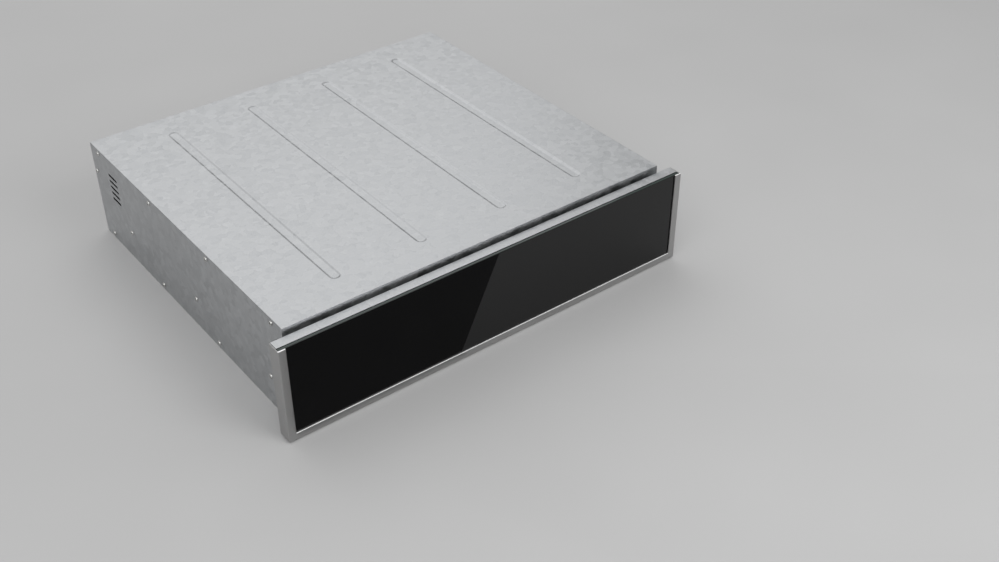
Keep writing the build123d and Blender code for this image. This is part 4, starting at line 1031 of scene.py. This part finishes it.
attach(rocker_signs, "rocker")
print("signs in mm:", [round(v / MM, 2) for v in rocker_signs.dimensions])

# %% [markdown]
# The drawer stands on a plain pale floor. A backdrop that curves up behind it would also do, but a floor
# that goes on out of sight is simpler, and looks the same from every side.

# %% Floor
FLOOR_SIZE = 40.0
deselect()
bpy.ops.mesh.primitive_plane_add(size=FLOOR_SIZE)
floor = bpy.context.object
floor.name = "floor"
dress(floor, clouded("pale_floor", 3.0, grey(0.52), grey(0.54), (0.75, 0.85), Specular_IOR_Level=0.2))
floor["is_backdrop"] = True
print("floor across in m:", floor.dimensions.x)

# %% [markdown]
# The world is the soft light from all round. It fills the shadows, and it is what the metal mirrors. One
# even white would leave the steel flat, so it is darker at the horizon and brighter above, as in a studio
# with a pale ceiling. The change follows the height of the direction that is looked in.

# %% Light from all round
HORIZON_LIGHT = 0.30
TOP_LIGHT = 0.57
FULL_LIGHT_HEIGHT = 0.5
world = bpy.data.worlds.new("studio")
bpy.context.scene.world = world
world.use_nodes = True
sky = world.node_tree.nodes["Background"]
sky.inputs["Color"].default_value = (1, 1, 1, 1)
direction = add_node(world, "TexCoord", {}).outputs["Generated"]
height = add_node(world, "SeparateXYZ", {"Vector": direction}).outputs["Z"]
inputs = {"Value": height, "From Max": FULL_LIGHT_HEIGHT, "To Min": HORIZON_LIGHT, "To Max": TOP_LIGHT}
rise = add_node(world, "MapRange", inputs, interpolation_type="SMOOTHSTEP").outputs["Result"]
world.node_tree.links.new(rise, sky.inputs["Strength"])
print("light from", HORIZON_LIGHT, "to", TOP_LIGHT)

# %% [markdown]
# Three soft lamps shape the drawer: a large one high on the left for the front, a larger one high at the
# back for the top, and a small one in front that the bright edges pick up. Spotlights would be simpler to
# aim, but large lamps make soft shadows and broad, calm highlights on brushed steel.


# %% Lamps
def soft_lamp(name, place, aim, width, height, power):
    """A rectangular soft lamp that faces a point. Sizes are in metres and the power in watts."""
    data = bpy.data.lights.new(name, "AREA")
    data.shape = "RECTANGLE"
    data.size = width
    data.size_y = height
    data.energy = power
    lamp = bpy.data.objects.new(name, data)
    lamp.location = place
    lamp.rotation_euler = (Vector(aim) - Vector(place)).to_track_quat("-Z", "Y").to_euler()
    bpy.context.scene.collection.objects.link(lamp)
    return lamp


lamps = [
    soft_lamp("left_lamp", (-1.6, -1.5, 2.1), (0, -0.1, 0.05), 2.4, 1.8, 20.0),
    soft_lamp("rear_lamp", (0.5, 1.9, 2.1), (0, 0, 0.1), 3.2, 2.4, 18.0),
    soft_lamp("front_lamp", (0.4, -1.75, 1.5), (0, -0.27, 0.05), 1.0, 1.0, 12.0),
]
print("lamps:", [lamp.name for lamp in lamps])

# %% [markdown]
# Black glass is seen by what it mirrors. In the photograph a slanting edge parts a dark reflection on the
# left from a lighter one on the right. Painted on the glass, that edge would stay put as the view turns,
# which no reflection does. So a dark card lies in front of the pane, as a photographer would lay one. Its
# corners are where the camera's line of sight, mirrored in the pane, meets the floor. Only reflections
# see the card.

# %% Card that the pane mirrors
CARD_LIGHT = 0.10
CARD_REACH = 8.0
CARD_HEIGHT = 0.5 * MM
EDGE_AT_TOP = 2 * MM
EDGE_AT_FOOT = -56 * MM


def mirrored_on_floor(x, z):
    """Where the floor is that the camera sees in the pane at a place across and up."""
    spot = Vector((x, pane_low.y, z))
    eye = camera.location.copy()
    eye.y = 2 * pane_low.y - eye.y
    reach = z / (eye.z - z)
    return spot + (spot - eye) * reach


near_left = mirrored_on_floor(left_high.x, bottom_high.z)
near_right = mirrored_on_floor(EDGE_AT_FOOT, bottom_high.z)
far_left = near_left + (mirrored_on_floor(left_high.x, pane_high.z) - near_left) * CARD_REACH
far_right = near_right + (mirrored_on_floor(EDGE_AT_TOP, pane_high.z) - near_right) * CARD_REACH
deselect()
bpy.ops.mesh.primitive_plane_add(size=1.0)
card = bpy.context.object
card.name = "dark_card"
for point, corner in zip(card.data.vertices, (near_left, near_right, far_left, far_right)):
    point.co = corner + Vector((0, 0, CARD_HEIGHT))
card_finish = new_finish(
    "dark_card", Base_Color=(0, 0, 0, 1), Emission_Strength=CARD_LIGHT, Specular_IOR_Level=0.0
)
card_cloud = grain(card_finish, 6.0)
card_tones = tones(card_finish, card_cloud, (NOISE_LOW, grey(0.95)), (NOISE_HIGH, grey(1.0)))
drive(card_finish, Emission_Color=card_tones)
dress(card, card_finish)
card.visible_camera = False
card.visible_diffuse = False
card.visible_shadow = False
card.visible_transmission = False
card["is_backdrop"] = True
print("card corners in mm:", [[round(v / MM) for v in point.co] for point in card.data.vertices])

# %% [markdown]
# The view's tone curve stays plain, so that a colour shows as it is written. A filmic curve would soften
# the highlights, but it would also shift the steel's greys. The last lines compare the size of the
# dressed drawer with that of the solids, and close the frame.

# %% Close the frame
bpy.context.scene.view_settings.view_transform = "Standard"
low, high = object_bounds()
{"cad": [list(cad_low), list(cad_high)], "visual": [list(low), list(high)]}
print("grown by mm:", [round((b - a) / MM, 3) for a, b in zip(cad_high - cad_low, high - low)])
